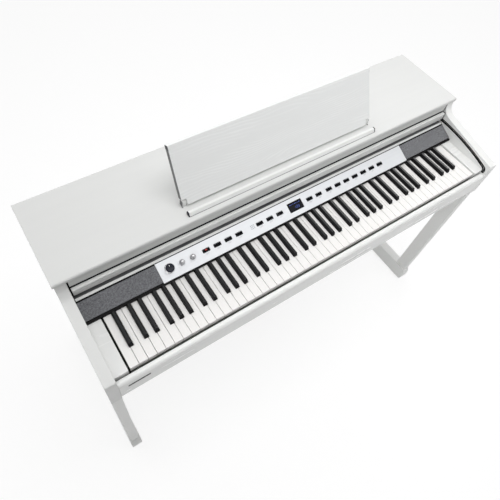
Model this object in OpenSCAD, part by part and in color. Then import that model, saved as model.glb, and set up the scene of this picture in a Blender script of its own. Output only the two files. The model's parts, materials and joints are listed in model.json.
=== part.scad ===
// Digital piano on its own stand.
// Millimetres, +Z up, +X to the player's right, +Y away from the player.
// The origin is on the floor under the middle of the whole instrument.

/* [Case] */
// Overall depth, from the nose of the feet to the rear edge of the lid
case_depth = 500; // [440:5:560]
// Height of the white-key tops above the floor
key_height = 724; // [690:1:760]
// Height of the lid's top above the white-key tops
lid_rise = 119; // [112:1:150]
// Thickness of the two side panels
side_t = 28; // [22:1:34]
// How far the lid's front stands behind the control panel's rear edge
lid_set = 18; // [12:1:24]
// Thickness of the lid
lid_t = 14; // [10:1:18]
// How far the lid stands out past each side panel
lid_over = 4; // [1:1:8]
// Thickness of the back panel
back_t = 10; // [6:1:14]
// Thickness of the key bed board
bed_t = 18; // [14:1:24]
// Depth of the key bed's underside below the white-key tops
bed_drop = 84; // [80:1:96]

/* [Side panels] */
// How far the arm's front stands behind the foot's nose
arm_set = 3; // [1:1:10]
// Height of the arm's front top corner above the white-key tops
arm_rise = 26.4; // [22:0.2:34]
// Slope of the arm's top edge, in degrees
arm_slope = 11; // [9:0.5:12]
// Radius of the cove between the arm and the lid
cove_r = 38; // [26:1:40]
// Height of the side panel's front face below the white-key tops
arm_drop = 99; // [90:1:120]
// Height of the chamfer under the arm's front
arm_chamfer = 15; // [8:1:20]
// Radius of the arm's front top corner
arm_r = 4; // [1:0.5:8]
// Width of the guide groove that carries the key cover
groove_w = 10; // [8:0.5:12]
// Depth of the guide groove
groove_depth = 8; // [5:0.5:12]
// Radius of the groove's bend, down into the hook at its front end
hook_r = 12; // [9:1:16]

/* [Stand] */
// Depth of a front leg
leg_d = 48; // [36:1:70]
// How far the leg's front stands behind the arm's front
leg_set = 6; // [3:1:12]
// Depth of a rear leg
rear_leg_d = 60; // [40:1:90]
// Width of a foot bar
foot_w = 36; // [30:1:50]
// Top of the foot bars above the floor
foot_top = 74; // [60:1:90]
// Radius of the foot's rounded nose
nose_r = 30; // [12:1:45]
// Height of the levelling glides
glide_h = 6; // [4:1:12]
// Diameter of the levelling glides
glide_dia = 28; // [20:1:32]
// Thickness of the modesty panel
modesty_t = 16; // [12:1:22]
// Lower edge of the modesty panel above the floor
modesty_low = 90; // [60:5:200]
// Height of the modesty panel
modesty_h = 300; // [200:5:400]
// How far the modesty panel stands behind the rear legs' fronts
modesty_set = 12; // [0:1:24]

/* [Pedals] */
// Width of the pedal box
pedal_box_w = 320; // [260:5:400]
// Depth of the pedal box
pedal_box_d = 170; // [150:5:200]
// Height of the pedal box
pedal_box_h = 92; // [80:1:110]
// Wall of the pedal box
pedal_box_t = 12; // [8:1:16]
// Clear height under the pedal box
pedal_box_low = 16; // [10:1:24]
// Spacing of the pedals
pedal_pitch = 72; // [60:1:90]
// Width of a pedal at its toe
pedal_w = 24; // [18:1:32]
// Reach of a pedal in front of its box
pedal_reach = 78; // [60:1:90]
// Thickness of a pedal
pedal_t = 5; // [4:0.5:6]
// Width of a pedal where it goes into its box
pedal_neck_w = 18; // [14:1:20]
// Distance of the pedals' axle behind the box's front
pedal_pin_set = 96; // [60:2:120]
// Diameter of the pedals' axle
pedal_pin_dia = 6; // [5:0.5:8]

/* [Keyboard] */
// Spacing of the white keys
white_pitch = 23.5; // [22.5:0.1:23.8]
// Gap between neighbouring white keys
key_gap = 1; // [0.6:0.1:1.4]
// Length of a white key in front of the control panel
white_visible = 145; // [135:1:152]
// Length of a white key in front of the black keys
white_head = 47; // [44:1:52]
// Height of a white key's front face
white_h = 18; // [16:1:22]
// Width of a black key
black_w = 11; // [9:0.2:12]
// Height of a black key above the white-key tops
black_rise = 11; // [9:0.5:12]
// Clearance beside a black key
black_gap = 1; // [0.6:0.1:1.2]
// Distance from the key fronts to their pivot rod
key_reach = 220; // [200:1:230]
// Diameter of the pivot rod
rod_dia = 4; // [3:0.5:5]
// Width of the blocks that close the keyboard's ends
cheek_w = 36; // [25:1:50]
// Gap between the outer keys and the end blocks
cheek_gap = 5; // [2:0.5:6]
// Thickness of the key slip, the rail in front of the keys
slip_t = 16; // [13:0.5:20]
// Gap between the key fronts and the key slip
slip_gap = 7; // [5:0.5:9]
// Depth of the key slip's top below the white-key tops
slip_drop = 9; // [6:0.5:12]
// Radius of the key slip's rounded top edge
slip_r = 9; // [3:0.5:11]
// Length of the thin slot in the key slip
slot_l = 58; // [30:1:80]

/* [Control panel] */
// Depth of the sloping control panel, measured level
panel_d = 48; // [44:1:52]
// Rise of the control panel, near edge to far edge
panel_rise = 21; // [16:0.5:24]
// Height of the control panel's near edge above the white-key tops
panel_near = 12; // [11.5:0.5:14]
// Width of the silver part between the grilles
panel_w = 884; // [860:2:900]
// Thickness of the panel and the grilles
panel_t = 3; // [2:0.5:4]
// Gap between the grilles and the white trim behind them
trim_gap = 3.2; // [2:0.2:4]
// Width of the white trim
trim_w = 6.8; // [5:0.2:9]
// Length of a button, along the panel
button_l = 20; // [16:1:24]
// Width of a button, up the panel
button_w = 8; // [6:0.5:10]
// Height of a button above the panel
button_h = 2; // [1:0.5:3]
// Spacing of the buttons
button_pitch = 35; // [30:0.5:36]
// Distance of the first function button from the panel's left end
function_set = 140; // [130:1:142]
// Place of the first transport button, from the middle
transport_x = -127.5; // [-130:0.5:-115]
// Place of the first select button, from the middle
select_x = 52; // [50:0.5:56]
// Place of the first voice button, from the middle
voice_x = 127; // [125:0.5:140]
// Width of the display
display_w = 50; // [44:1:56]
// Depth of the display
display_d = 28; // [24:1:30]
// Diameter of the volume knob
volume_dia = 24; // [18:1:28]
// Distance of the volume knob from the panel's left end
volume_set = 29.5; // [26:0.5:34]
// Distance from the volume knob to the first small knob
tone_set = 36.5; // [32:0.5:40]
// Spacing of the two small knobs
tone_pitch = 32.5; // [26:0.5:34]
// Diameter of the two small knobs
tone_dia = 14; // [10:1:18]
// Height of the knobs
knob_h = 13; // [8:1:14]
// Diameter of the knobs' shafts
shaft_dia = 6; // [4:0.5:8]

/* [Key cover] */
// Radius of the curved guide line that the cover slides along
guide_r = 680; // [660:5:760]
// Height of the guide line's highest point above the white-key tops
guide_rise = 46; // [45.5:0.5:50]
// Distance of the guide line's highest point behind the open cover's lip
guide_set = 8; // [0:1:16]
// Gap behind the open cover, to the back panel
cover_gap = 38; // [30:1:50]
// Thickness of the cover
cover_t = 6; // [4:0.5:7]
// Height of the cover's front lip
lip_h = 31; // [26:0.5:34]
// Thickness of the cover's front lip
lip_t = 11; // [8:1:14]

/* [Music rest] */
// Width of the music board
board_w = 646; // [500:2:800]
// Height of the music board
board_h = 164; // [150:1:180]
// Thickness of the music board
board_t = 16; // [12:1:18]
// Lean of the music board from upright, in degrees
board_lean = 27; // [20:1:30]
// Distance of the board's hinge pins behind the lid's front
board_set = 57; // [50:1:66]
// Height of the hinge pins above the lid
board_pin_h = 12.5; // [12.5:0.5:15]
// Diameter of the hinge pins
board_pin_dia = 5; // [4:0.5:6]
// Width of the notches in the board's lower corners, round its hinge lugs
notch_w = 14; // [12:0.5:18]
// Height of the ledge that stops a book from sliding off
ledge_h = 9.5; // [6:0.5:14]
// Distance from the hinge pins up to the stay's pivot
stay_at = 62; // [56:1:66]
// Length of the stay behind the board
stay_l = 76; // [72:1:80]

/* [Insides] */
// Diameter of each loudspeaker's flange
speaker_dia = 150; // [120:5:170]
// Distance of each loudspeaker from the middle
speaker_x = 480; // [440:5:520]
// Distance of the loudspeakers in front of the case's rear
speaker_set = 130; // [110:5:150]
// Width of the main circuit board
circuit_w = 300; // [200:10:400]
// Distance of the circuit board's front edge before the case's rear
circuit_set = 190; // [160:5:200]
// Width of the opening for the sockets at the rear
jack_w = 240; // [230:5:300]
// Height of the opening for the sockets
jack_h = 46; // [40:1:60]
// Distance of the sockets' opening from the middle
jack_x = 240; // [160:5:300]
// Height of the sockets above the key bed
jack_rise = 60; // [45:1:80]
// Diameter of the bore of a jack socket
jack_dia = 6.5; // [6.4:0.1:6.7]
// Depth of the bore of a jack socket
jack_depth = 22; // [16:1:30]
// Spacing of the jack sockets
jack_pitch = 26; // [22:1:30]

/* [Hidden] */
WHITE_COUNT = 52;         // the number of white keys on a full keyboard
OCTAVE = 7;               // white keys in an octave
FIRST_DEGREE = 5;         // the lowest key is an A, the sixth note from C
MIDDLE_C = 23;            // white keys below middle C
fit = 0.3;                // running clearance
pin_fit = 0.08;           // radial clearance of a pin in its bore
seam = 0.4;               // gap around a button in its hole
$fn = 48;

keys_w = WHITE_COUNT * white_pitch;
inner_x = keys_w / 2 + cheek_gap + cheek_w;
outer_x = inner_x + side_t;
lid_x = outer_x + lid_over;
front_y = -case_depth / 2;
rear_y = case_depth / 2;
lid_top = key_height + lid_rise;
lid_z = lid_top - lid_t;
side_rear = rear_y - 2;
back_y = side_rear - back_t;
bed_z = key_height - bed_drop;
bed_top = bed_z + bed_t;

// side panels
arm_y = front_y + arm_set;
arm_z = key_height + arm_rise;
side_z = key_height - arm_drop - arm_chamfer;

// loudspeakers and rear sockets
speaker_y = rear_y - speaker_set;
JACKS = 4;
jack_z = bed_top + jack_rise;

// stand
leg_y = arm_y + leg_set;
leg_x = inner_x + side_t / 2;
rear_leg_y = side_rear - rear_leg_d;
modesty_y = rear_leg_y + modesty_set;
pedal_box_y = modesty_y - pedal_box_d;
pedal_pin_y = pedal_box_y + pedal_pin_set;
pedal_pin_z = pedal_box_low + pedal_box_h / 2 - 2;
PEDAL_X = [-pedal_pitch, 0, pedal_pitch];

// keyboard
slip_y = front_y + 2;
slip_rear = slip_y + slip_t;
key_y = slip_rear + slip_gap;
black_y = key_y + white_head;
black_end = key_y + white_visible - 1;
rod_y = key_y + key_reach;
rod_z = key_height - 10;
lever_low = rod_z - 1.5;
lever_top = key_height - 2;
key_end = rod_y + 12;
white_end = key_y + white_visible + 5;
cheek_top = key_height + 2;
rod_notch = rod_z + rod_dia / 2 + fit;

// control panel, laid out on its own slope
panel_y = key_y + white_visible + 3;
panel_z = key_height + panel_near;
panel_a = atan(panel_rise / panel_d);
panel_l = sqrt(panel_d * panel_d + panel_rise * panel_rise);
panel_end = panel_y + panel_d;
button_v = panel_l * 0.53;
frame_t = 3;
strip_t = 2.7;
trim_v = panel_l + trim_gap;
frame_l = trim_v + trim_w + 0.5;
frame_rear_y = panel_y + frame_l * cos(panel_a) + panel_t * sin(panel_a);
grille_x = panel_w / 2 + seam;
cover_x = inner_x - 1.5;
function group_x(first, count) = [for (i = [0:count - 1]) first + i * button_pitch];
FUNCTION_X = group_x(function_set - panel_w / 2, 4);
TRANSPORT_X = group_x(transport_x, 3);
SELECT_X = group_x(select_x, 2);
VOICE_X = group_x(voice_x, 7);
VOLUME_X = volume_set - panel_w / 2;
TONE_X = [VOLUME_X + tone_set, VOLUME_X + tone_set + tone_pitch];

// the lid's front edge, and the cove of the side panels under it
lid_y = panel_end + lid_set;
cove_top_y = lid_y + 2;
cove_y = cove_top_y - cove_r;
cove_z = arm_z + (cove_r + (cove_y - arm_y) * sin(arm_slope)) / cos(arm_slope);

// key cover: a curved plate, which turns about the centre of its guide line
lip_y = panel_end + 10;
cover_y = lip_y + lip_t;
cover_rear = back_y - cover_gap;
guide_c = [lip_y + guide_set, key_height + guide_rise - guide_r];
guide_z = guide_c[1] + guide_r;
lip_low = guide_z - 1.5;
lip_top = lip_low + lip_h;
runner_l = 20;
fascia_z = lip_top + 2.5;

// music rest
pin_y = lid_y + board_set;
pin_z = lid_top + board_pin_h;
board_low = 9;
stay_t = 3;
stay_w = 46;
stay_off = board_t / 2 + 2;
stay_drop = board_pin_h + stay_at * cos(board_lean) - stay_off * sin(board_lean) - stay_t / 2 - fit;
stay_a = asin(stay_drop / stay_l);
stay_pin_dia = 1.6;
ear_w = 6;
lug_r = 7;
lug_w = notch_w - 2;
notch_top = lug_r + 1.5;

// ---------------------------------------------------------------- helpers

// A point on a circle, and an arc of them.
function polar(r, a) = r * [cos(a), sin(a)];
function arc(c, r, from, to, n = 12) = [for (i = [0:n]) c + polar(r, from + (to - from) * i / n)];

// A profile drawn in Y and Z, pulled along X from x0 to x1.
module along_x(x0, x1) {
    translate([x0, 0, 0]) rotate([90, 0, 90]) linear_extrude(x1 - x0) children();
}

// A box from one corner to the opposite one.
module block(a, b) {
    translate(a) cube(b - a);
}

// A centred rectangle with true round corners.
module rounded(w, d, r) {
    square([w - 2 * r, d], center = true);
    square([w, d - 2 * r], center = true);
    for (x = [-1, 1], y = [-1, 1]) translate([x * (w / 2 - r), y * (d / 2 - r)]) circle(r);
}

// The same piece at the left and, mirrored, at the right.
module right_side() {
    mirror([1, 0, 0]) children();
}

// Moves onto the sloping panel: x along it, y up its slope, z out of its face.
module on_panel() {
    translate([0, panel_y, panel_z]) rotate([panel_a, 0, 0]) children();
}

// The angle of the place on the guide line at depth y, and a move onto it.
function guide_angle(y) = 90 - asin((y - guide_c[0]) / guide_r);
module on_guide(y) {
    translate([0, guide_c[0], guide_c[1]]) rotate([guide_angle(y) - 90, 0, 0])
        translate([0, 0, guide_r]) children();
}

// ---------------------------------------------------------------- case

module side_profile() {
    top_c = [arm_y + arm_r, arm_z + arm_r * tan(arm_slope) - arm_r / cos(arm_slope)];
    intersection() {
        polygon(concat(
            [[arm_y + leg_set, side_z], [arm_y, side_z + arm_chamfer]],
            arc(top_c, arm_r, 180, 90 + arm_slope, 6),
            arc([cove_y, cove_z], cove_r, arm_slope - 90, 0, 16),
            [[cove_top_y, lid_z + cove_r], [side_rear, lid_z + cove_r], [side_rear, side_z]]));
        translate([arm_y, side_z]) square([side_rear - arm_y, lid_z - side_z]);
    }
}

// The guide groove: a long curved slot, with a short hook down at its front end.
module groove_profile() {
    r = groove_w / 2;
    rear = guide_angle(cover_rear + 4);
    front = guide_angle(slip_rear + 8);
    down = 172;
    bend_c = guide_c + polar(guide_r - hook_r, front);
    hook_l = bend_c[1] + hook_r * sin(down) - (key_height - slip_drop + r + 1);
    hook = bend_c + polar(hook_r, down) + polar(hook_l, down + 90);
    polygon(concat(
        arc(guide_c, guide_r + r, rear, front, 32),
        arc(bend_c, hook_r + r, front, down, 8),
        arc(hook, r, down, down + 180, 10),
        arc(bend_c, hook_r - r, down, front, 8),
        arc(guide_c, guide_r - r, front, rear, 32)));
}

module side_left() {
    color("gainsboro") difference() {
        along_x(-outer_x, -inner_x) side_profile();
        along_x(-inner_x - groove_depth, -inner_x + 1) groove_profile();
    }
}

module side_right() {
    right_side() side_left();
}

module lid() {
    r = 5;
    color("white") along_x(-lid_x, lid_x) polygon(concat(
        arc([lid_y + r, lid_z + r], r, 270, 180, 6),
        arc([lid_y + r, lid_top - r], r, 180, 90, 6),
        arc([rear_y - r, lid_top - r], r, 90, 0, 6),
        arc([rear_y - r, lid_z + r], r, 0, -90, 6)));
}

module fascia() {
    color("lightgray") along_x(-inner_x, inner_x) polygon([
        [lid_y + 3, fascia_z + 2], [lid_y + 5, fascia_z], [lid_y + 17, fascia_z],
        [lid_y + 17, lid_z], [lid_y + 3, lid_z]]);
}

module jack_opening(grow = 0) {
    translate([jack_x, 0, jack_z]) cube([jack_w + 2 * grow, 60, jack_h + 2 * grow], center = true);
}

module back_panel() {
    color("whitesmoke") difference() {
        block([-inner_x, back_y, bed_z], [inner_x, side_rear, lid_z]);
        translate([0, side_rear, 0]) jack_opening();
    }
}

// The socket plate, set on the back panel's inner face: a power inlet and a data socket
// on the left, and four jack sockets on the right.
module jack_panel() {
    plate_t = 2;
    wall = 3;
    inlet = [24, 16, 17];
    data = [12.4, 14, 11.2];
    inlet_x = -84;
    data_x = -44;
    color("dimgray") difference() {
        union() {
            translate([jack_x - jack_w / 2 - 5, back_y - plate_t, jack_z - jack_h / 2 - 5])
                cube([jack_w + 10, plate_t, jack_h + 10]);
            translate([jack_x, back_y, jack_z]) {
                for (i = [0:JACKS - 1]) translate([i * jack_pitch, 0, 0]) rotate([90, 0, 0])
                    cylinder(d = jack_dia + 2 * wall, h = jack_depth + wall);
                for (s = [[inlet_x, inlet], [data_x, data]])
                    translate([s[0], -(s[1][1] + wall) / 2, 0])
                        cube([s[1][0] + 2 * wall, s[1][1] + wall, s[1][2] + 2 * wall], center = true);
            }
        }
        translate([jack_x, back_y, jack_z]) {
            for (i = [0:JACKS - 1]) translate([i * jack_pitch, 1, 0]) rotate([90, 0, 0])
                cylinder(d = jack_dia, h = jack_depth + 1);
            for (s = [[inlet_x, inlet], [data_x, data]]) translate([s[0], (1 - s[1][1]) / 2, 0])
                cube([s[1][0], s[1][1] + 1, s[1][2]], center = true);
        }
    }
}

module key_bed() {
    color("whitesmoke") difference() {
        block([-inner_x, slip_rear, bed_z], [inner_x, back_y, bed_top]);
        for (x = [-1, 1]) translate([x * speaker_x, speaker_y, bed_z - 1])
            cylinder(d = speaker_dia - 26, h = bed_t + 2);
    }
}

module key_slip() {
    top = key_height - slip_drop;
    slot_x = -keys_w / 2 - 19;
    color("white") difference() {
        along_x(-inner_x, inner_x) polygon(concat(
            [[slip_rear, bed_z], [slip_y, bed_z]],
            arc([slip_y + slip_r, top - slip_r], slip_r, 180, 90, 8),
            [[slip_rear, top]]));
        block([slot_x, slip_y - 1, top - 28], [slot_x + slot_l, slip_y + 6, top - 25]);
    }
}

module cheek_left() {
    color("white") block([-inner_x, key_y - 3, bed_top],
        [-keys_w / 2 - cheek_gap, panel_y + 20, cheek_top]);
}

module cheek_right() {
    right_side() cheek_left();
}

// ---------------------------------------------------------------- stand

module post(y, d) {
    translate([-leg_x, y + d / 2, foot_top]) linear_extrude(side_z - foot_top)
        rounded(side_t, d, 3);
}

module leg_left() {
    color("gainsboro") post(leg_y, leg_d);
}

module leg_right() {
    right_side() leg_left();
}

module rear_leg_left() {
    color("gainsboro") post(rear_leg_y, rear_leg_d);
}

module rear_leg_right() {
    right_side() rear_leg_left();
}

module foot_left() {
    rear_r = 10;
    color("gainsboro") along_x(-leg_x - foot_w / 2, -leg_x + foot_w / 2) polygon(concat(
        [[front_y + 6, glide_h], [front_y, glide_h + 10]],
        arc([front_y + nose_r, foot_top - nose_r], nose_r, 180, 90, 12),
        arc([side_rear - rear_r, foot_top - rear_r], rear_r, 90, 0, 8),
        [[side_rear, glide_h]]));
}

module foot_right() {
    right_side() foot_left();
}

// Four levelling glides under the feet, and the adjuster under the pedal box.
module glides() {
    color("black") {
        for (x = [-leg_x, leg_x], y = [front_y + 32, side_rear - 30])
            translate([x, y, 0]) cylinder(d = glide_dia, h = glide_h);
        translate([0, pedal_box_y + 60, 0]) cylinder(d = glide_dia, h = pedal_box_low);
    }
}

module modesty_panel() {
    color("gainsboro") block([-inner_x, modesty_y, modesty_low],
        [inner_x, modesty_y + modesty_t, modesty_low + modesty_h]);
}

// ---------------------------------------------------------------- pedals

module pedal_box() {
    w = pedal_box_w / 2;
    top = pedal_box_low + pedal_box_h;
    slot_x = pedal_neck_w / 2 + 2;
    color("gainsboro") difference() {
        block([-w, pedal_box_y, pedal_box_low], [w, modesty_y, top]);
        block([-w + pedal_box_t, pedal_box_y + pedal_box_t, pedal_box_low + pedal_box_t],
            [w - pedal_box_t, modesty_y + 1, top - pedal_box_t]);
        for (x = PEDAL_X) block([x - slot_x, pedal_box_y - 1, pedal_pin_z - 24],
            [x + slot_x, pedal_box_y + pedal_box_t + 1, pedal_pin_z + 10]);
    }
    color("silver") translate([-w + pedal_box_t, pedal_pin_y, pedal_pin_z]) rotate([0, 90, 0])
        cylinder(d = pedal_pin_dia, h = pedal_box_w - 2 * pedal_box_t);
}

// One pedal: a lever that hangs on the axle in the box, and a rounded toe in front of it.
module pedal(x) {
    neck = pedal_neck_w / 2;
    toe_y = pedal_box_y - pedal_reach + pedal_w / 2;
    hub = pedal_pin_dia / 2 + 5;
    low = pedal_pin_z - hub;
    color("goldenrod") translate([x, 0, 0]) difference() {
        union() {
            translate([0, 0, low]) linear_extrude(pedal_t) {
                translate([-neck, pedal_box_y - 30])
                    square([pedal_neck_w, pedal_pin_y + hub - pedal_box_y + 30]);
                translate([0, toe_y]) circle(d = pedal_w);
                polygon([[-pedal_w / 2, toe_y], [pedal_w / 2, toe_y],
                    [neck, pedal_box_y - 20], [-neck, pedal_box_y - 20]]);
            }
            translate([-neck, pedal_pin_y - hub, low]) cube([pedal_neck_w, 2 * hub, 2 * hub]);
        }
        translate([-pedal_w, pedal_pin_y, pedal_pin_z]) rotate([0, 90, 0])
            cylinder(d = pedal_pin_dia + 2 * pin_fit, h = 2 * pedal_w);
    }
}

module pedal_left() {
    pedal(PEDAL_X[0]);
}

module pedal_middle() {
    pedal(PEDAL_X[1]);
}

module pedal_right() {
    pedal(PEDAL_X[2]);
}

// ---------------------------------------------------------------- keyboard

// The note of a white key, counted from C, and whether a black key follows it.
function degree(i) = (i + FIRST_DEGREE) % OCTAVE;
function has_black(i) = i >= 0 && i < WHITE_COUNT - 1 && degree(i) != 2 && degree(i) != 6;
// Black keys stand a little off the joint between their two white keys.
BLACK_SHIFT = [-2.8, 2.8, 0, -3.6, 0, 3.6, 0];
function edge_x(i) = i * white_pitch - keys_w / 2;
function black_x(i) = edge_x(i + 1) + BLACK_SHIFT[degree(i)];
function tail_left(i) = has_black(i - 1) ? black_x(i - 1) + black_w / 2 + black_gap
    : edge_x(i) + key_gap / 2;
function tail_right(i) = has_black(i) ? black_x(i) - black_w / 2 - black_gap
    : edge_x(i + 1) - key_gap / 2;

// The rear lever of a key, notched from below where it rides on the pivot rod.
module lever(x0, x1, y0) {
    half = rod_dia / 2 + fit;
    difference() {
        block([x0, y0, lever_low], [x1, key_end, lever_top]);
        block([x0 - 1, rod_y - half, lever_low - 1], [x1 + 1, rod_y + half, rod_notch]);
    }
}

module white_key(i) {
    head_end = key_y + white_head - black_gap;
    x0 = edge_x(i) + key_gap / 2;
    x1 = edge_x(i + 1) - key_gap / 2;
    t0 = tail_left(i);
    t1 = tail_right(i);
    color("ivory") {
        translate([0, 0, key_height - white_h]) linear_extrude(white_h) polygon([
            [x0, key_y], [x1, key_y], [x1, head_end], [t1, head_end],
            [t1, white_end], [t0, white_end], [t0, head_end], [x0, head_end]]);
        lever(t0, t1, white_end - 1);
    }
}

module black_key(i) {
    half = black_w / 2;
    top = key_height + black_rise;
    foot = key_height - 1;
    color([0.06, 0.06, 0.07]) translate([black_x(i), 0, 0]) {
        intersection() {
            translate([0, black_end, 0]) rotate([90, 0, 0]) linear_extrude(black_end - black_y)
                polygon([[-half, foot], [half, foot], [half - 0.8, top - 1.5],
                    [half - 2, top], [2 - half, top], [0.8 - half, top - 1.5]]);
            along_x(-half, half) polygon([[black_y, foot], [black_y + 2.5, top - 2.5],
                [black_y + 5, top], [black_end, top], [black_end, foot]]);
        }
        block([1 - half, black_y + 1, key_height - 15], [half - 1, white_end, foot + 0.5]);
        lever(1 - half, half - 1, white_end - 1);
    }
}

module white_keys(from, to) {
    for (i = [from:to]) white_key(i);
}

module black_keys(from, to) {
    for (i = [from:to]) if (has_black(i)) black_key(i);
}

// The steel chassis under the keys, with its front stop rail and the pivot rod.
module key_frame() {
    half = keys_w / 2;
    plate_t = 2;
    color("silver") {
        block([-half, key_y + 4, bed_top], [half, rod_y + 26, bed_top + plate_t]);
        block([-half, key_y + 20, bed_top], [half, key_y + 30, key_height - white_h - 14]);
        block([-half, rod_y - 3, bed_top], [half, rod_y + 3, rod_z - rod_dia / 2]);
        translate([-half, rod_y, rod_z]) rotate([0, 90, 0]) cylinder(d = rod_dia, h = keys_w);
    }
}

// ---------------------------------------------------------------- control panel

// A rounded hole or key-top outline at each place of a group of buttons.
module button_outline(places, grow) {
    for (x = places) translate([x, button_v])
        rounded(button_l + 2 * grow, button_w + 2 * grow, 1 + grow);
}

module buttons(places) {
    color("black") on_panel() translate([0, 0, -panel_t - 1.5])
        linear_extrude(panel_t + 1.5 + button_h) button_outline(places, 0);
}

module control_panel() {
    color("lightsteelblue") on_panel() difference() {
        block([-panel_w / 2, -0.8, -panel_t], [panel_w / 2, trim_v - 1.2, 0]);
        translate([0, 0, -panel_t - 1]) linear_extrude(panel_t + 2) {
            button_outline(FUNCTION_X, seam);
            button_outline(TRANSPORT_X, seam);
            button_outline(SELECT_X, seam);
            button_outline(VOICE_X, seam);
            translate([0, button_v]) rounded(display_w + 2 * fit, display_d + 2 * fit, 1.5);
        }
        for (x = concat([VOLUME_X], TONE_X)) translate([x, button_v, -panel_t - 1])
            cylinder(d = shaft_dia + 2 * pin_fit, h = panel_t + 2);
    }
}

// The black chassis under the panel: front strip, sloping tray and rear wall.
module panel_frame() {
    window_v = button_w + 8;
    color([0.05, 0.05, 0.05]) {
        block([-inner_x, panel_y - strip_t - 0.3, cheek_top],
            [inner_x, panel_y - 0.3, panel_z - 2]);
        on_panel() difference() {
            block([-inner_x, -2.2, -panel_t - frame_t], [inner_x, frame_l, -panel_t]);
            for (w = [[FUNCTION_X[0], TRANSPORT_X[2]], [SELECT_X[0], VOICE_X[6]]])
                block([w[0] - button_l, button_v - window_v / 2, -panel_t - frame_t - 1],
                    [w[1] + button_l, button_v + window_v / 2, -panel_t + 1]);
            for (x = concat([VOLUME_X], TONE_X)) translate([x, button_v, -panel_t - frame_t - 1])
                cylinder(d = shaft_dia + 4, h = frame_t + 2);
        }
        block([-inner_x, frame_rear_y - 2, cheek_top], [inner_x, frame_rear_y,
            panel_z + frame_l * sin(panel_a) - panel_t * cos(panel_a) - 1]);
    }
}

module panel_trim() {
    color("white") on_panel() block([-inner_x, trim_v, -panel_t],
        [inner_x, trim_v + trim_w, 1.2]);
}

module grille_left() {
    color("gray") on_panel() block([-inner_x, 2.4, -panel_t], [-grille_x, panel_l, 0.6]);
}

module grille_right() {
    right_side() grille_left();
}

module display() {
    color("black") on_panel() translate([0, button_v, -panel_t]) linear_extrude(panel_t + 0.4)
        rounded(display_w, display_d, 1.2);
}

// A knob on its shaft: a body that narrows a little, with a low skirt round it.
module knob(x, d, skirt) {
    on_panel() translate([x, button_v, 0]) {
        rotate_extrude() polygon([[0, fit], [d / 2 + skirt, fit], [d / 2 + skirt, 1.6],
            [d / 2, 2.6], [d / 2 - 0.8, knob_h - 1.2], [d / 2 - 2, knob_h], [0, knob_h]]);
        translate([0, 0, -panel_t - frame_t - 4])
            cylinder(d = shaft_dia, h = panel_t + frame_t + 5);
    }
}

module volume_knob() {
    color("silver") knob(VOLUME_X, volume_dia, 1.5);
}

module tone_knob_left() {
    color("silver") knob(TONE_X[0], tone_dia, 0.6);
}

module tone_knob_right() {
    color("silver") knob(TONE_X[1], tone_dia, 0.6);
}

// ---------------------------------------------------------------- key cover

// The cover's plate, a stretch of a ring, and four runners, each on a shoe round its edge.
module key_cover() {
    half = cover_t / 2;
    runner_w = groove_depth + 0.5;
    shoe = 6;
    color("gainsboro") {
        along_x(-cover_x, cover_x) intersection() {
            translate(guide_c) difference() {
                circle(guide_r + half, $fn = 720);
                circle(guide_r - half, $fn = 720);
            }
            translate([cover_y, guide_c[1]]) square([cover_rear - cover_y, guide_r + cover_t]);
        }
        for (s = [-1, 1], y = [cover_y + 3 + runner_l / 2, cover_rear - 2 - runner_l / 2])
            on_guide(y) translate([s * (cover_x + (runner_w - shoe) / 2), 0, 0])
                cube([runner_w + shoe, runner_l, groove_w - 2 * fit], center = true);
    }
}

// The lip, with a fine line along its face and a well-rounded lower edge.
module cover_lip() {
    r = 4;
    low_r = lip_t - 1;
    line_z = lip_low + lip_h * 0.7;
    color("lightgray") along_x(-cover_x, cover_x) polygon(concat(
        [[cover_y, lip_low]],
        arc([lip_y + low_r, lip_low + low_r], low_r, 270, 180, 10),
        [[lip_y, line_z - 1.2], [lip_y + 1.2, line_z], [lip_y, line_z + 1.2]],
        arc([lip_y + r, lip_top - r], r, 180, 90, 6),
        [[cover_y - 2, lip_top], [cover_y, lip_top - 2]]));
}

// ---------------------------------------------------------------- music rest

// Moves onto the leaning board: z up the board, y out of its back.
module on_board() {
    translate([0, pin_y, pin_z]) rotate([-board_lean, 0, 0]) children();
}

module music_board() {
    color("whitesmoke") on_board() {
        difference() {
            block([-board_w / 2, -board_t / 2, -board_low],
                [board_w / 2, board_t / 2, board_h - board_low]);
            for (s = [-1, 1]) translate([s * board_w / 2, 0, 0]) {
                translate([0, 0, notch_top - 20])
                    cube([2 * notch_w, board_t + 2, 40], center = true);
                rotate([0, 90, 0])
                    cylinder(d = board_pin_dia + 2 * pin_fit, h = 2 * notch_w + 26, center = true);
            }
        }
        for (s = [-1, 1]) difference() {
            translate([s * (stay_w / 2 + fit + ear_w / 2), stay_off - 0.25, stay_at])
                cube([ear_w, 3.5, 10], center = true);
            translate([0, stay_off, stay_at]) rotate([0, 90, 0])
                cylinder(d = stay_pin_dia + 2 * pin_fit, h = 2 * stay_w, center = true);
        }
    }
}

module rest_ledge() {
    ledge_y = lid_y + 15;
    color("gainsboro") along_x(-board_w / 2, board_w / 2) polygon([
        [ledge_y, lid_top], [ledge_y + 5, lid_top + ledge_h],
        [ledge_y + 12.5, lid_top + ledge_h], [ledge_y + 12.5, lid_top]]);
}

// Two lugs on the lid, in the board's notches, each with a pin that goes into the board.
module rest_hinge() {
    pin_l = 20;
    color("white") for (s = [-1, 1]) {
        translate([s * (board_w / 2 - notch_w / 2), pin_y, lid_top]) {
            translate([-lug_w / 2, -lug_r, 0]) cube([lug_w, 2 * lug_r, board_pin_h]);
            translate([0, 0, board_pin_h]) rotate([0, 90, 0])
                cylinder(r = lug_r, h = lug_w, center = true);
        }
        translate([s * (board_w / 2 - notch_w), pin_y, pin_z]) rotate([0, 90, 0])
            cylinder(d = board_pin_dia, h = pin_l, center = true);
    }
}

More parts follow.
